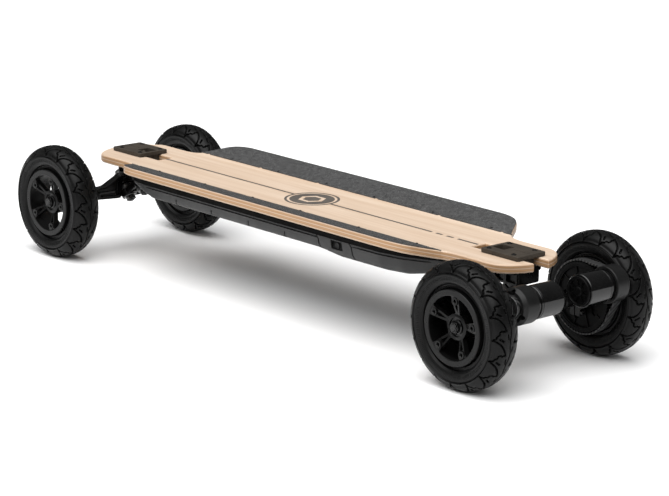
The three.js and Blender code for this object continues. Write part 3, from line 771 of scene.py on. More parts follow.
def make_tyre():
    section = tyre_section()
    _, _, total = resample(section, [0])
    steps = np.concatenate([np.arange(0, TREAD_EDGE + 4.2, 0.6), np.arange(TREAD_EDGE + 4.8, total, 0.9),
                            [total]])
    radii, sides, _ = resample(section, steps)
    across = np.concatenate([-steps[:0:-1], steps])
    radius = np.concatenate([radii[:0:-1], radii])
    width = np.concatenate([-sides[:0:-1], sides])
    slope = np.gradient(np.column_stack([radius, width]), axis=0)
    slope /= np.linalg.norm(slope, axis=1)[:, None]
    outward = np.column_stack([slope[:, 1], -slope[:, 0]])

    beyond = np.abs(across) > TREAD_EDGE
    sunk = np.where(beyond, 0.75, 0.0)
    sunk -= 1.0 * np.exp(-((np.abs(across) - TREAD_EDGE - 0.5) / 0.55) ** 2)
    sunk += 1.3 * np.exp(-((np.abs(across) - TREAD_EDGE - 2.3) / 0.7) ** 2)
    sunk += 2.4 * np.exp(-((radius - 55.4) / 1.2) ** 2) * beyond
    sunk -= 0.35 * np.exp(-((radius - 70.5) / 0.45) ** 2) * beyond
    sunk -= 0.35 * np.exp(-((radius - 61.0) / 0.5) ** 2) * beyond

    around = np.arange(TYRE_STEPS) * TREAD_REPEATS * TREAD_PITCH / TYRE_STEPS
    angle = (around / TYRE_RADIUS)[:, None]
    grid_u, grid_v = np.meshgrid(around, across, indexing="ij")
    depth = groove_depth(grid_u.ravel(), grid_v.ravel()).reshape(grid_u.shape) + sunk[None, :]
    ribbed = beyond * np.clip((radius - 62.5) / 0.8, 0, 1) * np.clip((69.2 - radius) / 0.8, 0, 1)
    depth -= 0.45 * np.maximum(0, np.cos(angle * SIDEWALL_RIBS)) * ribbed[None, :]
    r = radius[None, :] - outward[None, :, 0] * depth
    y = width[None, :] - outward[None, :, 1] * depth
    outer = np.stack([r * np.cos(angle), y, r * np.sin(angle)], axis=-1)
    inner = np.stack([
        np.stack([pr * np.cos(angle[:, 0]), np.full(TYRE_STEPS, py), pr * np.sin(angle[:, 0])], axis=-1)
        for pr, py in ((52.25, 10.5), (52.25, -10.5))
    ], axis=1)
    grid = np.concatenate([outer, inner], axis=1)
    columns = grid.shape[1]
    index = np.arange(TYRE_STEPS * columns).reshape(TYRE_STEPS, columns)
    along, up = np.roll(index, -1, axis=0), np.roll(index, -1, axis=1)
    both = np.roll(along, -1, axis=1)
    faces = np.stack([index, up, both, along], axis=-1).reshape(-1, 4)
    mesh = bpy.data.meshes.new("tyre")
    mesh.from_pydata((grid.reshape(-1, 3) * MM).tolist(), [], faces.tolist())
    mesh.materials.append(TYRE)
    tidy(mesh, 50)
    return add_object("tyre", mesh)


# ---------------------------------------------------------------- rims and hubs

RIM_FACE = 22.2
SPOKES = 5
BOLT_CIRCLE = 37.3
BOLT_HOLE = 2.3
HUB_FACE = 13.4
SPOKE_PHASE = {"front_left": 37.0, "front_right": 11.9, "rear_left": 24.1, "rear_right": 24.1}


def polar(radius, angle):
    return (radius * math.cos(angle), radius * math.sin(angle))


def sector(inner, outer, half_in, half_out, corner, centre):
    """A window between two spokes, with round corners."""
    steps = 10
    loop = [polar(inner, centre - half_in)]
    loop += [polar(outer, centre - half_out + 2 * half_out * k / steps) for k in range(steps + 1)]
    loop += [polar(inner, centre + half_in), polar(inner - 0.6, centre)]
    radii = [corner * 0.7, corner] + [0] * (steps - 1) + [corner, corner * 0.7, 0]
    return fillet([(*p, r) for p, r in zip(loop, radii)], corner, 5)


def cutter(loop, low, high):
    return plate("cutter", [loop], low, high, RIM, axis="y")


def make_rim():
    """Barrel and flange, five pairs of ribs that dish in to the hub, and a boss at the end of each pair."""
    rim = lathe("rim", [(52, -18.5), (52, 21.2), (51.2, RIM_FACE), (44.2, RIM_FACE), (42.8, 21.2),
                        (38, 20.4), (17.5, 12.6), (17.5, 5.5), (40, 12.6), (45.6, 12.6), (45.6, -18.5)], RIM,
                120, round_to=0.7)
    step = 2 * math.pi / SPOKES
    tools = []
    for k in range(SPOKES):
        spoke = k * step
        tools.append(cutter(sector(18.6, 43.4, 0.435, 0.462, 3.4, spoke + step / 2), 0, 40))
        gap = fillet([(*polar(19.5, spoke), 0.2), (*polar(31.5, spoke - 0.098), 1.0),
                      (*polar(32.4, spoke), 0), (*polar(31.5, spoke + 0.098), 1.0)], 1, 3)
        tools.append(cutter(gap, 0, 40))
    rim = cut(rim, *tools)
    hub = lathe("hub", [(18.8, -13.5), (18.8, 5), (17.9, 12.4), (14.4, HUB_FACE), (13.2, HUB_FACE),
                        (13.2, -13.5)], RIM, 72, round_to=0.5)
    bosses, holes = [], []
    for k in range(SPOKES):
        x, z = polar(BOLT_CIRCLE, k * step)
        boss = lathe("boss", [(CORE, 15.5), (5.6, 15.5), (5.2, 22.0), (CORE, 22.0)], RIM, 32, round_to=0.5)
        bosses.append(shift(boss, (x, 0, z)))
        hole = lathe("hole", [(CORE, 10), (BOLT_HOLE, 10), (BOLT_HOLE, 21.0), (3.1, 21.9), (3.1, 25),
                              (CORE, 25)], RIM, 24)
        holes.append(shift(hole, (x, 0, z)))
    rim = join(rim, hub, *bosses)
    return cut(rim, *holes)


def hexagon_nut(name, half, low, high, material, bevel=0.8):
    return plate(name, [circle(half, 6)], low, high, material, bevel, "y")


def make_hub_nut():
    """Flanged lock nut on the axle's end, with the threads showing."""
    nut = lathe("hub_nut", [(CORE, 11.6), (9.6, 11.6), (9.6, 12.6), (8.2, 13.4), (CORE, 13.4)], GLOSS, 48,
                round_to=0.3)
    nut = join(nut, hexagon_nut("nut", 8.2, 12.9, 17.6, GLOSS), lathe("collar", [(CORE, 17.0), (6.8, 17.0),
                                                                                 (6.2, 19.0), (4.9, 19.2),
                                                                                 (4.7, 18.0), (CORE, 18.0)],
                                                                      GLOSS, 40, round_to=0.3))
    return nut


def threaded_rod(name, radius, low, high, material, plain=0.5, pitch=1.25):
    """A turned rod with a chamfered end and thread ridges, after a plain stretch at its foot."""
    profile = [(CORE, low), (radius - 0.5, low)]
    if plain > 0.5:
        profile += [(radius, low + 0.5), (radius, low + plain - 0.5)]
    y = low + plain
    while y + pitch < high:
        profile += [(radius - 0.45, y), (radius, y + pitch / 2)]
        y += pitch
    profile += [(radius - 0.8, high), (CORE, high)]
    return lathe(name, profile, material, 28, sharp=20)


def make_bearing():
    """A ball bearing: two races with a pressed shield between them."""
    return lathe("bearing", [(5.4, 2), (13, 2), (13, 11), (11.2, 11), (10.8, 10.2), (7.4, 10.2), (7.0, 11),
                             (5.4, 11)], DARK_STEEL, 48, round_to=0.25)


def make_wheels():
    tyre, rim, nut, bearing = make_tyre(), make_rim(), make_hub_nut(), make_bearing()
    for number, (end, side) in enumerate((e, s) for e in ENDS for s in SIDES):
        corner = f"{end}_{side}"
        body = corner + "_wheel"
        sign = SIDES[side]
        at = (FRONT_AXLE if end == "front" else REAR_AXLE, sign * WHEEL_Y, AXLE_Z)
        own_tyre = tyre if number == 0 else copy_of(tyre, "tyre")
        put(own_tyre, body, [corner + "_tyre"], at, sign < 0, corner + "_tread_tyre")
        own_rim = copy_of(rim, "rim")
        own_rim.data = rim.data.copy()
        turn = math.radians(SPOKE_PHASE[corner]) * sign
        spin(own_rim, -turn)
        put(own_rim, body, [corner + "_rim"], at, sign < 0, corner + "_spoked_rim")
        own_bearing = bearing if number == 0 else copy_of(bearing, "bearing")
        put(own_bearing, body, [corner + "_bearing"], at, sign < 0, corner + "_ball_bearing")
        own_nut = nut if number == 0 else copy_of(nut, "nut")
        put(own_nut, end + "_hanger", (), at, sign < 0, corner + "_lock_nut")
        axle = threaded_rod(corner + "_half_axle", 5.0, 22 - WHEEL_Y, 19.6, DARK_STEEL, WHEEL_Y - 16)
        put(axle, end + "_hanger", [corner + "_axle"], at, sign < 0)
    bpy.data.objects.remove(rim)


# ---------------------------------------------------------------- trucks

KINGPIN_LEAN = math.radians(52)
ALONG = Vector((math.cos(KINGPIN_LEAN), 0, math.sin(KINGPIN_LEAN)))
ACROSS = Vector((-math.sin(KINGPIN_LEAN), 0, math.cos(KINGPIN_LEAN)))
OUTER_NUT = Vector((-16.0, 0, -11.0))
KINGPIN_SPACING = 40.0
INNER_NUT = OUTER_NUT + ACROSS * KINGPIN_SPACING
KINGPIN_RADIUS = 4.1
LINK_LOW, LINK_HIGH = 3.8, 13.8
EYE_LOW, EYE_HIGH = 23.4, 34.4
HANGER_END = 92.3
DECK_W = DECK_TOP - AXLE_Z
PLATE_IN, PLATE_OUT = -75.8, -5.3
MOUNT_BOLTS = [(u, v) for u in (-66.5, -19.8) for v in (-20.0, 20.0)]


def end_axle(end):
    return (FRONT_AXLE if end == "front" else REAR_AXLE, 0, AXLE_Z)


def on_kingpin(made, foot):
    """Stands a piece that was made along Z, with X inboard, on a kingpin's line."""
    turn = Matrix((ACROSS, Vector((0, -1, 0)), ALONG)).transposed().to_4x4()
    made.data.transform(Matrix.Translation(Vector(foot) * MM) @ turn)
    return made


def kingpin_lathe(name, profile, material, foot, segments=48, round_to=0.3):
    return aim(lathe(name, profile, material, segments, round_to=round_to), ALONG, foot)


def box_loop(x0, x1, y0, y1, radius, steps=4):
    return fillet([(x0, y0), (x1, y0), (x1, y1), (x0, y1)], radius, steps)


def disc(name, radius, low, high, material, at, bevel=0.4, segments=32):
    """A round head, washer or boss about a vertical line."""
    made = lathe(name, [(CORE, low), (radius, low), (radius - bevel, high), (CORE, high)], material, segments,
                 round_to=bevel * 0.5)
    return aim(made, (0, 0, 1), at)


def make_screw(name, radius, height, material):
    """A socket screw's head about Z, its seat at zero."""
    head = disc(name, radius, 0, height, material, (0, 0, 0), 0.5)
    socket = plate("socket", [circle(radius * 0.52, 6)], height * 0.35, height + 2, material)
    return cut(head, socket)


def make_top_plate():
    window = box_loop(-70.3, -47.8, -10.5, 10.5, 1.6)
    low = DECK_W + 0.3
    made = plate("top_plate", [box_loop(PLATE_IN, PLATE_OUT, -27, 27, 3.0), window], low, low + 6.2, PLATE,
                 0.9)
    web = plate("web", [box_loop(-72.8, -13.3, -13.2, 13.2, 2.0), window], DECK_W - 12.5, low + 1, PLATE, 0.4)
    rib = plate("rib", [[(-71, DECK_W - 12), (-47, DECK_W - 12), (-47, DECK_W + 4), (-50, DECK_W + 4)]],
                -1.6, 1.6, PLATE, 0.3, "y")
    made = join(made, web, rib)
    seats = []
    for u, v in MOUNT_BOLTS:
        seats.append(plate("seat", [circle(3.9, 32, (u, v))], low + 4.9, low + 9, PLATE))
    notch = plate("notch", [box_loop(-40, -9, -0.4, 0.4, 0.3)], low + 5.8, low + 9, PLATE)
    return cut(made, notch, *seats)


def make_baseplate():
    """Cast base under the deck: flange, waisted block and the slanted seat of the inner kingpin."""
    top = DECK_W - 12.8
    flange = plate("baseplate", [box_loop(-81, -9.8, -27, 27, 8)], top - 7, top, ANODISED, 1.4)
    body = plate("body", [fillet([(-66, top - 5, 0), (-58, 31, 5), (-9.8, 31, 3), (-9.8, top - 5, 0)], 3)],
                 -21, 21, ANODISED, 2.2, "y")
    boss = kingpin_lathe("boss", band(13, 20, 42), ANODISED, INNER_NUT, round_to=0.8)
    made = join(flange, body, boss)
    tools = [kingpin_lathe("space", band(15.5, -20, EYE_LOW), ANODISED, INNER_NUT),
             kingpin_lathe("hole", band(4.4, -20, 39), ANODISED, INNER_NUT),
             plate("above", [box_loop(-90, 40, -40, 40, 1)], top, top + 30, ANODISED)]
    for side in (-1, 1):
        low, high = sorted((side * 16.5, side * 30))
        pocket = fillet([(-55, top - 9.5), (-50, 34.5), (-37, 34.5), (-37, top - 9.5)], 2.0)
        tools.append(plate("pocket", [pocket], low, high, ANODISED, 0.8, "y"))
        pocket = fillet([(-32, top - 9.5), (-32, 34.5), (-14, 34.5), (-14, top - 9.5)], 2.0)
        tools.append(plate("pocket", [pocket], low, high, ANODISED, 0.8, "y"))
    return cut(made, *tools)


def make_link():
    """The short arm that joins the two kingpins."""
    rings = []
    for name, across in (("middle_link", 0), ("inner_boss", KINGPIN_SPACING)):
        boss = lathe(name, band(12.5, LINK_LOW, LINK_HIGH, 4.5), ANODISED, 56,
                     round_to=0.9)
        rings.append(aim(boss, (0, 0, 1), (across, 0, 0)))
    bar = plate("bar", [box_loop(9, KINGPIN_SPACING - 9, -10.5, 10.5, 0.5)], LINK_LOW, LINK_HIGH, ANODISED,
                1.4)
    made = join(rings[0], rings[1], bar)
    tools = []
    for low, high in ((LINK_LOW - 3, LINK_LOW + 2.6), (LINK_HIGH - 2.6, LINK_HIGH + 3)):
        pocket = box_loop(14.5, KINGPIN_SPACING - 14.5, -6.5, 6.5, 2.5)
        tools.append(plate("pocket", [pocket], low, high, ANODISED, 0.6))
    return on_kingpin(cut(made, *tools), OUTER_NUT)


def make_bushing(name, foot, low, high):
    waist = (high - low) * 0.22
    profile = [(4.6, low), (9.6, low), (10.8, low + 0.9), (11.5, low + waist), (11.5, high - waist),
               (10.8, high - 0.9), (9.6, high), (4.6, high)]
    return kingpin_lathe(name, profile, URETHANE, foot, 56, 0.5)


def hexagon(name, half, low, high, material):
    """A nut about Z with chamfered corners."""
    nut = plate(name, [circle(half, 6)], low, high, material, 0.5)
    round_off = lathe("round_off", [(half * 0.9, low - 1), (half + 3, low - 1), (half + 3, high + 1),
                                    (half * 0.9, high + 1), (half * 1.02, high - 0.6),
                                    (half * 1.02, low + 0.6)], material, 48)
    return cut(nut, aim(round_off, (0, 0, 1), (0, 0, 0)))


def washer(name, inner, outer, low, high, material):
    made = lathe(name, band(outer, low, high, inner), material, 48, round_to=0.3)
    return aim(made, (0, 0, 1), (0, 0, 0))


def make_kingpins(end, at, turned):
    for name, foot, low, high, body in (("outer", OUTER_NUT, -5.0, 47.0, end + "_hanger"),
                                        ("inner", INNER_NUT, -15.0, 38.0, "deck")):
        rod = threaded_rod(f"{end}_{name}_kingpin_rod", KINGPIN_RADIUS, low, high, DARK_STEEL)
        put(aim(rod, ALONG, foot), body, [f"{end}_{name}_kingpin"], at, turned)
    fittings = [("lower_nut", OUTER_NUT, "_hanger", hexagon("nut", 7.6, -3.5, 2.6, DARK_STEEL)),
                ("lower_washer", OUTER_NUT, "_hanger", washer("washer", 4.3, 9.6, 2.7, 3.6, ZINC)),
                ("cup_washer", OUTER_NUT, "_hanger", washer("washer", 4.3, 11.2, 43.2, 44.6, ZINC)),
                ("king_bolt_head", OUTER_NUT, "_hanger", hexagon("head", 7.6, 44.8, 50, DARK_STEEL)),
                ("inner_nut", INNER_NUT, "deck", hexagon("nut", 7.6, -13.5, -6.7, DARK_STEEL)),
                ("inner_washer", INNER_NUT, "deck", washer("washer", 4.3, 10.4, -6.5, -4.6, ZINC))]
    for name, foot, body, made in fittings:
        own = body if body == "deck" else end + body
        put(on_kingpin(made, foot), own, (), at, turned, f"{end}_{name}")


def make_hanger():
    """Forged hanger: a wing with a web between two flanges, round arms and the kingpin's eye."""
    outline = [(-60, -8.5, 4), (-20, -11.5, 12), (20, -11.5, 12), (60, -8.5, 4), (60, 9, 2), (41, 10.5, 14),
               (12.5, 24.5, 5), (-12.5, 24.5, 5), (-41, 10.5, 14), (-60, 9, 2)]
    made = plate("hanger", [fillet(outline, 4, 5)], -8, 9, ANODISED, 2.4, "x", 4)
    arms = lathe("arms", [(5.3, -HANGER_END), (8.8, -HANGER_END), (9.2, -HANGER_END + 1.2), (10, -84),
                          (10, -58), (8.5, -50), (8.5, 50), (10, 58), (10, 84), (9.2, HANGER_END - 1.2),
                          (8.8, HANGER_END), (5.3, HANGER_END)], ANODISED, 56, round_to=0.8)
    eye = kingpin_lathe("eye", band(14, EYE_LOW, EYE_HIGH, 4.6), ANODISED, OUTER_NUT,
                        56, 1.0)
    made = join(made, arms, eye)
    tools = [kingpin_lathe("space", band(15.2, -20, EYE_LOW), ANODISED, OUTER_NUT),
             kingpin_lathe("space", band(14.6, EYE_HIGH, 70), ANODISED, OUTER_NUT),
             kingpin_lathe("hole", band(4.6, -20, 70), ANODISED, OUTER_NUT)]
    for side in (-1, 1):
        pocket = [(side * 17, 17.5, 2), (side * 17, -6.5, 2), (side * 55, -4.2, 2), (side * 55, 4.8, 2),
                  (side * 40, 6.2, 6)]
        for low, high in ((-14, -4), (5, 15)):
            tools.append(plate("pocket", [fillet(pocket, 2, 3)], low, high, ANODISED, 0.8, "x"))
        bore = band(5.3, side * 21, side * 110)
        tools.append(lathe("bore", bore, ANODISED, 32))
    return cut(made, *tools)


def make_trucks():
    plates = make_top_plate(), make_baseplate(), make_link(), make_hanger()
    screw = make_screw("screw", 3.4, 2.4, DARK_STEEL)
    for number, end in enumerate(ENDS):
        at, turned = end_axle(end), end == "rear"
        top, base, link, hanger = [made if number == 0 else copy_of(made, "copy") for made in plates]
        put(top, "deck", [end + "_top_plate"], at, turned, end + "_slotted_plate")
        put(base, "deck", [end + "_baseplate"], at, turned, end + "_cast_base")
        put(link, end + "_link", [end + "_middle_link"], at, turned, end + "_forged_link")
        put(hanger, end + "_hanger", [end + "_hanger"], at, turned, end + "_forged_hanger")
        make_kingpins(end, at, turned)
        for name, foot, low, high, body in (
                ("outer_bushing_lower", OUTER_NUT, LINK_HIGH + 0.3, 23.1, end + "_hanger"),
                ("outer_bushing_upper", OUTER_NUT, EYE_HIGH + 0.3, 43.0, end + "_hanger"),
                ("inner_bushing_lower", INNER_NUT, -4.2, 3.5, "deck"),
                ("inner_bushing_upper", INNER_NUT, LINK_HIGH + 0.3, 23.1, "deck")):
            ring = make_bushing(f"{end}_{name}_ring", foot, low, high)
            put(ring, body, [f"{end}_{name}"], at, turned)
        for k, (u, v) in enumerate(MOUNT_BOLTS):
            own = copy_of(screw, "screw")
            spot = (at[0] + ENDS[end] * u, ENDS[end] * v, DECK_TOP + 5.2)
            swaps = []
            if u > -40:
                swaps = [f"{end}_mount_bolt_{'left' if spot[1] > 0 else 'right'}"]
            put(own, "deck", swaps, spot, turned, f"{end}_plate_screw_{k}")
    bpy.data.objects.remove(screw)


# ---------------------------------------------------------------- rear drive

MOTOR_U = REAR_AXLE - middle("left_motor").x / MM
MOTOR_W = middle("left_motor").z / MM - AXLE_Z
DRIVE_REACH = math.hypot(MOTOR_U, MOTOR_W)
DRIVE_ANGLE = math.atan2(MOTOR_W, MOTOR_U)
PULLEY_TEETH = 63
PINION_TEETH = 16
BELT_IN, BELT_OUT = 93.5, 105.5


def around_pulleys(axle_circle, motor_circle, steps=40):
    """The tight outline round two circles on the drive line, the first about the axle."""
    touch = math.pi / 2 - math.asin((axle_circle - motor_circle) / DRIVE_REACH)
    loop = []
    for k in range(2 * steps + 1):
        loop.append(polar(axle_circle, DRIVE_ANGLE + touch + (2 * math.pi - 2 * touch) * k / (2 * steps)))
    for k in range(steps + 1):
        x, z = polar(motor_circle, DRIVE_ANGLE - touch + 2 * touch * k / steps)
        loop.append((x + MOTOR_U, z + MOTOR_W))
    return loop


def toothed_circle(radius, depth, teeth, steps=8):
    """Rounded teeth round a circle, their tips at the radius."""
    loop = []
    for k in range(teeth * steps):
        phase = k / steps % 1.0
        fall = min(1.0, max(0.0, (abs(phase - 0.5) - 0.16) / 0.12))
        loop.append(polar(radius - depth * fall, 2 * math.pi * k / (teeth * steps)))
    return loop


PULLEY_RADIUS = 50
PULLEY_FLANGE = 53
PINION_RADIUS = 12.7
PINION_FLANGE = 15.4  # crosses the pulley's flange by 1.2 mm, because the axes are 67.2 mm apart
GUARD_SPACE = 17.5  # the room round the pinion


def at_motor(made):
    return shift(made, (MOTOR_U, 0, MOTOR_W))


def make_motor():
    """Gloss can with a groove and a step at its outer end, and a neck into the mount."""
    profile = [(CORE, 26.5), (22.0, 26.5), (23, 27.5), (23, 64.6), (22.4, 64.9), (22.4, 65.5), (23, 65.8),
               (23, 67.2), (22.2, 68), (21.0, 68.2), (21.0, 85.7), (CORE, 85.7)]
    return at_motor(lathe("can", profile, GLOSS, 96, round_to=0.2))


def make_end_bell():
    """The can's inboard end: a stepped face with a bearing boss, cooling slots and screws."""
    bell = lathe("bell", [(CORE, 22.3), (5.6, 22.3), (6.4, 23.0), (6.4, 24.3), (17.6, 24.3), (18.4, 22.6),
                          (20.0, 22.6), (20.6, 23.4), (20.6, 26.9), (CORE, 26.9)], TRIM, 96, round_to=0.3)
    slots = []
    for k in range(8):
        slots.append(plate("slot", [sector(8.4, 16.2, 0.2, 0.27, 1.0, math.pi / 4 * k)], 20, 25.8, TRIM, 0,
                           "y"))
    made = cut(bell, *slots)
    heads = []
    for k in range(4):
        x, z = polar(12.3, math.pi / 4 + math.pi / 2 * k + 0.39)
        heads.append(shift(lathe("head", band(1.7, 23.4, 24.8), TRIM, 20), (x, 0, z)))
    shaft = lathe("shaft", band(2.4, 22.0, 24), TRIM, 24, round_to=0.2)
    return at_motor(join(made, shaft, *heads))


def make_mount():
    """Bracket clamped on the hanger, with a collar round the motor and a guard round the pinion."""
    collar = at_motor(lathe("mount", [(21.3, 75), (24.9, 75), (25.7, 75.8), (25.7, 97), (21.5, 102),
                                      (17.5, 102), (17.5, 91), (5, 91), (5, 86.1), (21.3, 86.1)], MOUNT, 96,
                            round_to=0.35))
    arm = plate("arm", [around_pulleys(17, 16, 16)], 82, 91, MOUNT, 1.2, "y")
    clamp = plate("clamp", [fillet([(-9, -12), (-9, -24), (9, -24), (9, -12)], 2)], 82.2, 90.8, MOUNT, 1.0,
                  "y")
    made = join(collar, arm, clamp)
    neck = at_motor(lathe("neck", band(21.3, 70, 86.1), MOUNT, 72))
    shaft = at_motor(lathe("shaft", band(5, 80, 95), MOUNT, 32))
    bore = lathe("bore", band(10.3, 75, 96), MOUNT, 48)
    tools = [neck, shaft, bore, plate("space", [around_pulleys(54.8, GUARD_SPACE)], 91.4, 108, MOUNT, 0, "y"),
             plate("split", [[(-0.9, -6), (-0.9, -30), (0.9, -30), (0.9, -6)]], 75, 96, MOUNT, 0, "y")]
    for way in (-1, 1):
        x, z = polar(20.5, DRIVE_ANGLE + way)
        tools.append(plate("notch", [circle(3.8, 24, (MOTOR_U + x, MOTOR_W + z))], 95, 108, MOUNT, 0, "y"))
    for low, high in ((78, 84.2), (88.8, 91.2)):
        pocket = fillet([polar(21, DRIVE_ANGLE - 0.42), polar(36, DRIVE_ANGLE - 0.24),
                         polar(36, DRIVE_ANGLE + 0.24), polar(21, DRIVE_ANGLE + 0.42)], 3)
        tools.append(plate("pocket", [pocket], low, high, MOUNT, 0.5, "y"))
    return cut(made, *tools)


def make_clamp_bolt():
    head = lathe("clamp_bolt", band(3.4, 9.4, 12.6), DARK_STEEL, 32, round_to=0.4)
    turned = aim(head, (1, 0, 0), (0, 86.5, -18.5))
    socket = plate("socket", [circle(1.8, 6, (86.5, -18.5))], 10.6, 14, DARK_STEEL, 0, "x")
    return cut(turned, socket)


def make_pulley():
    """Toothed ring with a guide flange, a sunk web with ribs, and a hub that drives the wheel."""
    inner = BELT_IN - 0.5
    rim = plate("pulley", [toothed_circle(PULLEY_RADIUS, 1.3, PULLEY_TEETH), circle(45, 96)], inner, 107,
                TRIM, 0, "y")
    flange = lathe("flange", band(PULLEY_FLANGE, 105.9, 107.2, 44.8), TRIM, 120, round_to=0.3)
    web = lathe("web", [(5.4, inner + 2), (12.5, inner + 2), (12.5, inner + 4.2), (42.5, inner + 4.2),
                        (42.5, inner + 1), (45.4, inner + 0.6), (45.4, inner + 7), (14, inner + 7),
                        (14, 117.2), (5.4, 117.2)], TRIM, 96, round_to=0.4)
    made = join(rim, flange, web)
    ribs = []
    for k in range(10):
        bar = plate("rib", [[(12, -1.1), (43.2, -1.1), (43.2, 1.1), (12, 1.1)]], inner + 2.6, inner + 4.8,
                    TRIM, 0.2, "y")
        ribs.append(spin(bar, 2 * math.pi * k / 10))
    holes = []
    for k in range(5):
        x, z = polar(29, 2 * math.pi * (k + 0.5) / 5)
        holes.append(plate("hole", [circle(5.2, 32, (x, z))], 90, 98.8, TRIM, 0, "y"))
    return cut(join(made, *ribs), *holes)


def make_belt():
    """Toothed belt: the outer face is smooth, and the free runs show their teeth inside."""
    outer = around_pulleys(52.8, 15.5)
    made = plate("belt", [outer, around_pulleys(50.5, 13.2)], BELT_IN, BELT_OUT, BELT, 0.25, "y")
    touch = math.pi / 2 - math.asin((50.5 - 13.2) / DRIVE_REACH)
    teeth = []
    for side in (-1, 1):
        start = Vector(polar(50.5, DRIVE_ANGLE + side * touch))
        end = Vector(polar(13.2, DRIVE_ANGLE + side * touch)) + Vector((MOTOR_U, MOTOR_W))
        run = (end - start).normalized()
        inward = Vector((run.y, -run.x)) * side
        pitch = 5.0
        count = int((end - start).length / pitch) - 2
        for k in range(count):
            here = start + run * pitch * (k + 1.7)
            points = [here - inward * 0.4 - run * 1.4, here + inward * 1.1 - run * 0.9,
                      here + inward * 1.1 + run * 0.9, here - inward * 0.4 + run * 1.4]
            teeth.append(plate("tooth", [[tuple(q) for q in points]], BELT_IN + 0.3, BELT_OUT - 0.3, BELT, 0,
                               "y"))
    return join(made, *teeth)


def make_pinion():
    teeth = plate("pinion", [toothed_circle(PINION_RADIUS, 1.2, PINION_TEETH)], 92.8, 106.2, PINION, 0.2, "y")
    flanges = [lathe("flange", band(PINION_FLANGE, low, high), PINION, 48, round_to=0.2)
               for low, high in ((91.9, 92.9), (106.0, 106.9))]
    shaft = lathe("shaft", [(CORE, 86.1), (4, 86.1), (4, 107.4), (3.6, 107.8), (CORE, 107.8)], PINION, 32)
    return at_motor(join(teeth, shaft, *flanges))


def flipped(made):
    """A copy of the piece, mirrored along X."""
    twin = copy_of(made, made.name)
    twin.data = made.data.copy()
    twin.data.transform(Matrix.Scale(-1, 4, (1, 0, 0)))
    twin.data.flip_normals()
    return twin


def make_drive():
    at = end_axle("rear")
    pieces = [("motor_can", "motor", "rear_hanger", "gloss_metal", make_motor()),
              ("motor_end_bell", None, "rear_hanger", "black_plastic", make_end_bell()),
              ("motor_bracket", "motor_mount", "rear_hanger", "mount_metal", make_mount()),
              ("clamp_bolt", None, "rear_hanger", "zinc_steel", make_clamp_bolt()),
              ("toothed_pulley", "wheel_pulley", "wheel", "pulley_plastic", make_pulley()),
              ("toothed_belt", "drive_belt", "rear_hanger", "belt_rubber", make_belt()),
              ("toothed_pinion", "motor_pinion", "pinion", "pinion_steel", make_pinion())]
    for name, node, ride, slot, made in pieces:
        twin = flipped(made)
        for side, own, turned in (("left", twin, False), ("right", made, True)):
            body = {"wheel": f"rear_{side}_wheel", "pinion": f"{side}_pinion"}.get(ride, ride)
            swaps = [f"{side}_{node}"] if node else []
            put(own, body, swaps, at, turned, f"{side}_{name}")


# ---------------------------------------------------------------- battery box

BOX_TOP = 140.5
BOX_STATIONS = ((306, 138, 93), (281, 127, 98), (262, 119, 99), (-120, 119, 99), (-160, 113, 99),
                (-250, 112.5, 97), (-285, 113, 90), (-318, 118.5, 76), (-338, 126, 63), (-346, 134, 56))
BUTTON_AT = (-163.0, 132.5)
CHARGE_AT = (120, 132)
RECESS_HALF = (11.6, 6.5)
BEZEL_HALF = (11.2, 6.1)
LINE_Z = 138.3
LINE_ENDS = ((-124, 268), (-326, -206))
SEAMS = ((-123, -141, 1.8), (-190, -203, 1.0))
FOOT_NOTCHES = (201, 118, 33, -48)
NOTCH_LEAN = math.radians(-24)
DECK_SCREWS = (270, 160, 50, -56, -180, -298)
DECK_SCREW_Y = 72


def box_size(x):
    """Height of the bottom and half width of the box at a place along it."""
    for (x1, low1, wide1), (x2, low2, wide2) in zip(BOX_STATIONS, BOX_STATIONS[1:]):
        if x1 >= x >= x2:
            t = (x1 - x) / (x1 - x2)
            return low1 + (low2 - low1) * t, wide1 + (wide2 - wide1) * t
    return BOX_STATIONS[-1][1:]


def box_half(x, inset):
    """Half a cross-section of the box from its upper edge round to the middle, with the lid's line in it."""
    low, wide = box_size(x)
    low, wide = low + inset, wide - inset
    deep = BOX_TOP - low
    wall_top, wall_foot = (wide, BOX_TOP), (wide - 0.12 * deep, low + 0.42 * deep)
    lined = inset == 0 and any(start < x < end for start, end in LINE_ENDS)
    rows = []
    for k, offset in enumerate((-1.1, -0.75, 0.75, 1.1)):
        t = min(0.88, (BOX_TOP - LINE_Z + offset) / max(0.5, BOX_TOP - wall_foot[1])) + 0.02 * k
        sink = 2.2 if lined and k in (1, 2) else 0.0
        rows.append((wall_top[0] + (wall_foot[0] - wall_top[0]) * t - sink,
                     BOX_TOP + (wall_foot[1] - BOX_TOP) * t))
    lower = fillet([wall_foot, (wide - 0.28 * deep, low + 0.16 * deep, 5), (wide - 0.62 * deep, low, 5),
                    (0, low)], 5, 4, closed=False)
    return [wall_top, *rows, *lower]


def box_columns():
    """Places along the box, each with how far the shell is sunk there and how the seam bends."""
    made = []
    x = BOX_STATIONS[0][0]
    while x > BOX_STATIONS[-1][0]:
        near = any(min(seam[:2]) - 6 < x < max(seam[:2]) + 6 for seam in SEAMS)
        if not near:
            made.append((x, x, 1.0, 0.0))
        x -= 4.0
    made.append((BOX_STATIONS[-1][0],) * 2 + (1.0, 0.0))
    for top, foot, bend in SEAMS:
        for offset, sink in ((1.3, 0.0), (0.95, 2.0), (-0.95, 2.0), (-1.3, 0.0)):
            made.append((top + offset, foot + offset, bend, sink))
    return sorted(made, key=lambda column: -column[0] - column[1])


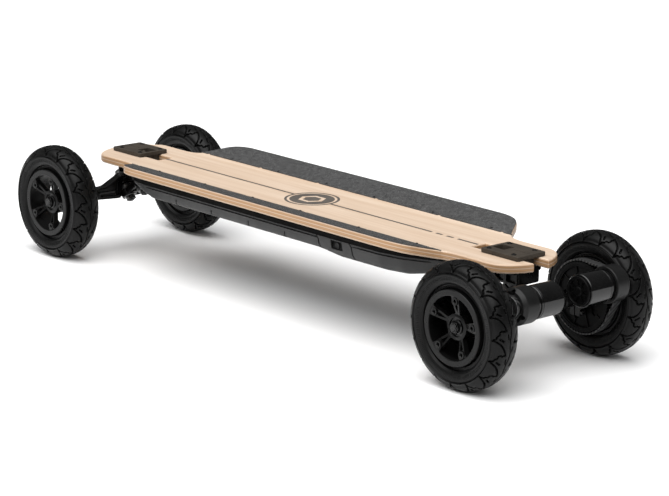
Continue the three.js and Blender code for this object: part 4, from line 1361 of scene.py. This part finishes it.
def make_box():
    """Moulded shell under the deck, with its lid line and the two seams of the switch panel."""
    verts, faces, rings = [], [], []
    for inset in (0, 3):
        for top_x, foot_x, bend, sink in box_columns():
            count = len(box_half(0, 0))
            half = []
            for k in range(count):
                x = top_x + (foot_x - top_x) * (k / (count - 2)) ** bend if k < count - 2 else foot_x
                if inset:
                    x = max(min(x, BOX_STATIONS[0][0] - 4), BOX_STATIONS[-1][0] + 4)
                y, z = box_half(x, inset)[k]
                half.append((x, y - (0 if inset or k == count - 1 else sink),
                             z + (sink if not inset and k > 8 else 0)))
            ring = half + [(x, -y, z) for x, y, z in reversed(half[:-1])]
            rings.append(range(len(verts), len(verts) + len(ring)))
            verts += ring
    middle_ring = len(rings) // 2
    width = len(rings[0])
    for j in range(len(rings) - 1):
        if j == middle_ring - 1:
            continue
        for k in range(width - 1):
            faces.append((rings[j][k], rings[j][k + 1], rings[j + 1][k + 1], rings[j + 1][k]))
    for j in range(middle_ring - 1):
        inner = j + middle_ring
        for k in (0, width - 1):
            faces.append((rings[j][k], rings[j + 1][k], rings[inner + 1][k], rings[inner][k]))
    for j in (0, middle_ring - 1):
        outer, inner = rings[j], rings[j + middle_ring]
        for k in range(width - 1):
            faces.append((outer[k], outer[k + 1], inner[k + 1], inner[k]))
    shell = build("moulded_box", verts, faces, SHELL, 28)
    x, z = BUTTON_AT
    recess = box_loop(x - RECESS_HALF[0], x + RECESS_HALF[0], z - RECESS_HALF[1], z + RECESS_HALF[1], 1.4)
    tools = [plate("recess", [recess], 80, 110, SHELL, 0, "y"),
             plate("socket", [circle(8.3, 40, CHARGE_AT)], -110, -80, SHELL, 0, "y")]
    for spot in FOOT_NOTCHES:
        for side in (-1, 1):
            loop = [(side * 95.6, 132.2), (side * 94.0, 131.4), (side * 91.6, 124.6), (side * 85, 121.6),
                    (side * 85, 110), (side * 105, 110), (side * 105, 132.2)]
            tool = plate("notch", [loop], spot - 1.1, spot + 1.1, SHELL, 0, "x")
            tools.append(spin(tool, NOTCH_LEAN, "Y", (spot, 0, 122)))
    made = cut(shell, *tools)
    return put(made, "deck", ["battery_enclosure"])


def make_controls():
    x, z = BUTTON_AT
    frame_loop = box_loop(x - BEZEL_HALF[0], x + BEZEL_HALF[0], z - BEZEL_HALF[1], z + BEZEL_HALF[1], 1.2)
    bezel = plate("button_bezel", [frame_loop, circle(4.95, 48, BUTTON_AT)], 91.5, 95, TRIM, 0.35, "y")
    put(bezel, "deck", ["power_button_bezel"])
    button = lathe("round_button", [(CORE, 89.4), (6.4, 89.4), (6.4, 91.1), (4.6, 91.3), (4.6, 95.9),
                                    (4.0, 96.6), (3.0, 96.3), (CORE, 96.1)], KEY, 48, round_to=0.25)
    put(shift(button, (x, 0, z)), "power_button", ["power_button"])
    socket = lathe("charge_socket", [(CORE, -88), (8, -88), (8, -96.9), (7.4, -97.5), (5.8, -97.5),
                                     (5.5, -97.0), (5.5, -92.4), (1.3, -92.4), (1.3, -96.2), (0.9, -96.6),
                                     (CORE, -96.6)], TRIM, 48)
    put(shift(socket, (CHARGE_AT[0], 0, CHARGE_AT[1])), "deck", ["charge_port"])


def make_deck_screws():
    """Small flush screws through the deck that hold the battery box."""
    screw = make_screw("screw", 2.5, 1.2, DARK_STEEL)
    for k, x in enumerate(DECK_SCREWS):
        for side, sign in SIDES.items():
            own = copy_of(screw, "screw")
            y = sign * DECK_SCREW_Y
            put(own, "deck", (), (x, y, DECK_TOP + deck_rise(y) + 0.7), False,
                f"{side}_deck_screw_{k}")
    bpy.data.objects.remove(screw)


make_camera()
make_studio()
make_deck()
for side_name, side_sign in SIDES.items():
    make_grip(side_name, side_sign)
make_print()
make_wheels()
make_trucks()
make_drive()
make_box()
make_controls()
make_deck_screws()

FINISHES = {
    "wood_deck": WOOD, "grip_tape": GRIT, "enclosure_plastic": SHELL, "seal_rubber": SEAL, "cell_pack": CELLS,
    "circuit_board": BOARD, "black_plastic": TRIM, "plate_metal": PLATE, "black_metal": ANODISED,
    "zinc_steel": ZINC, "bushing_rubber": URETHANE, "tyre_rubber": TYRE, "rim_plastic": RIM,
    "bearing_steel": ZINC, "pulley_plastic": RIM, "belt_rubber": BELT, "gloss_metal": GLOSS,
    "mount_metal": MOUNT, "pinion_steel": PINION,
}
for part in frame["record"]["subparts"]:
    node = frame["nodes"][part["node"]]
    node.data.materials.clear()
    node.data.materials.append(FINISHES[part["material_slot"]])
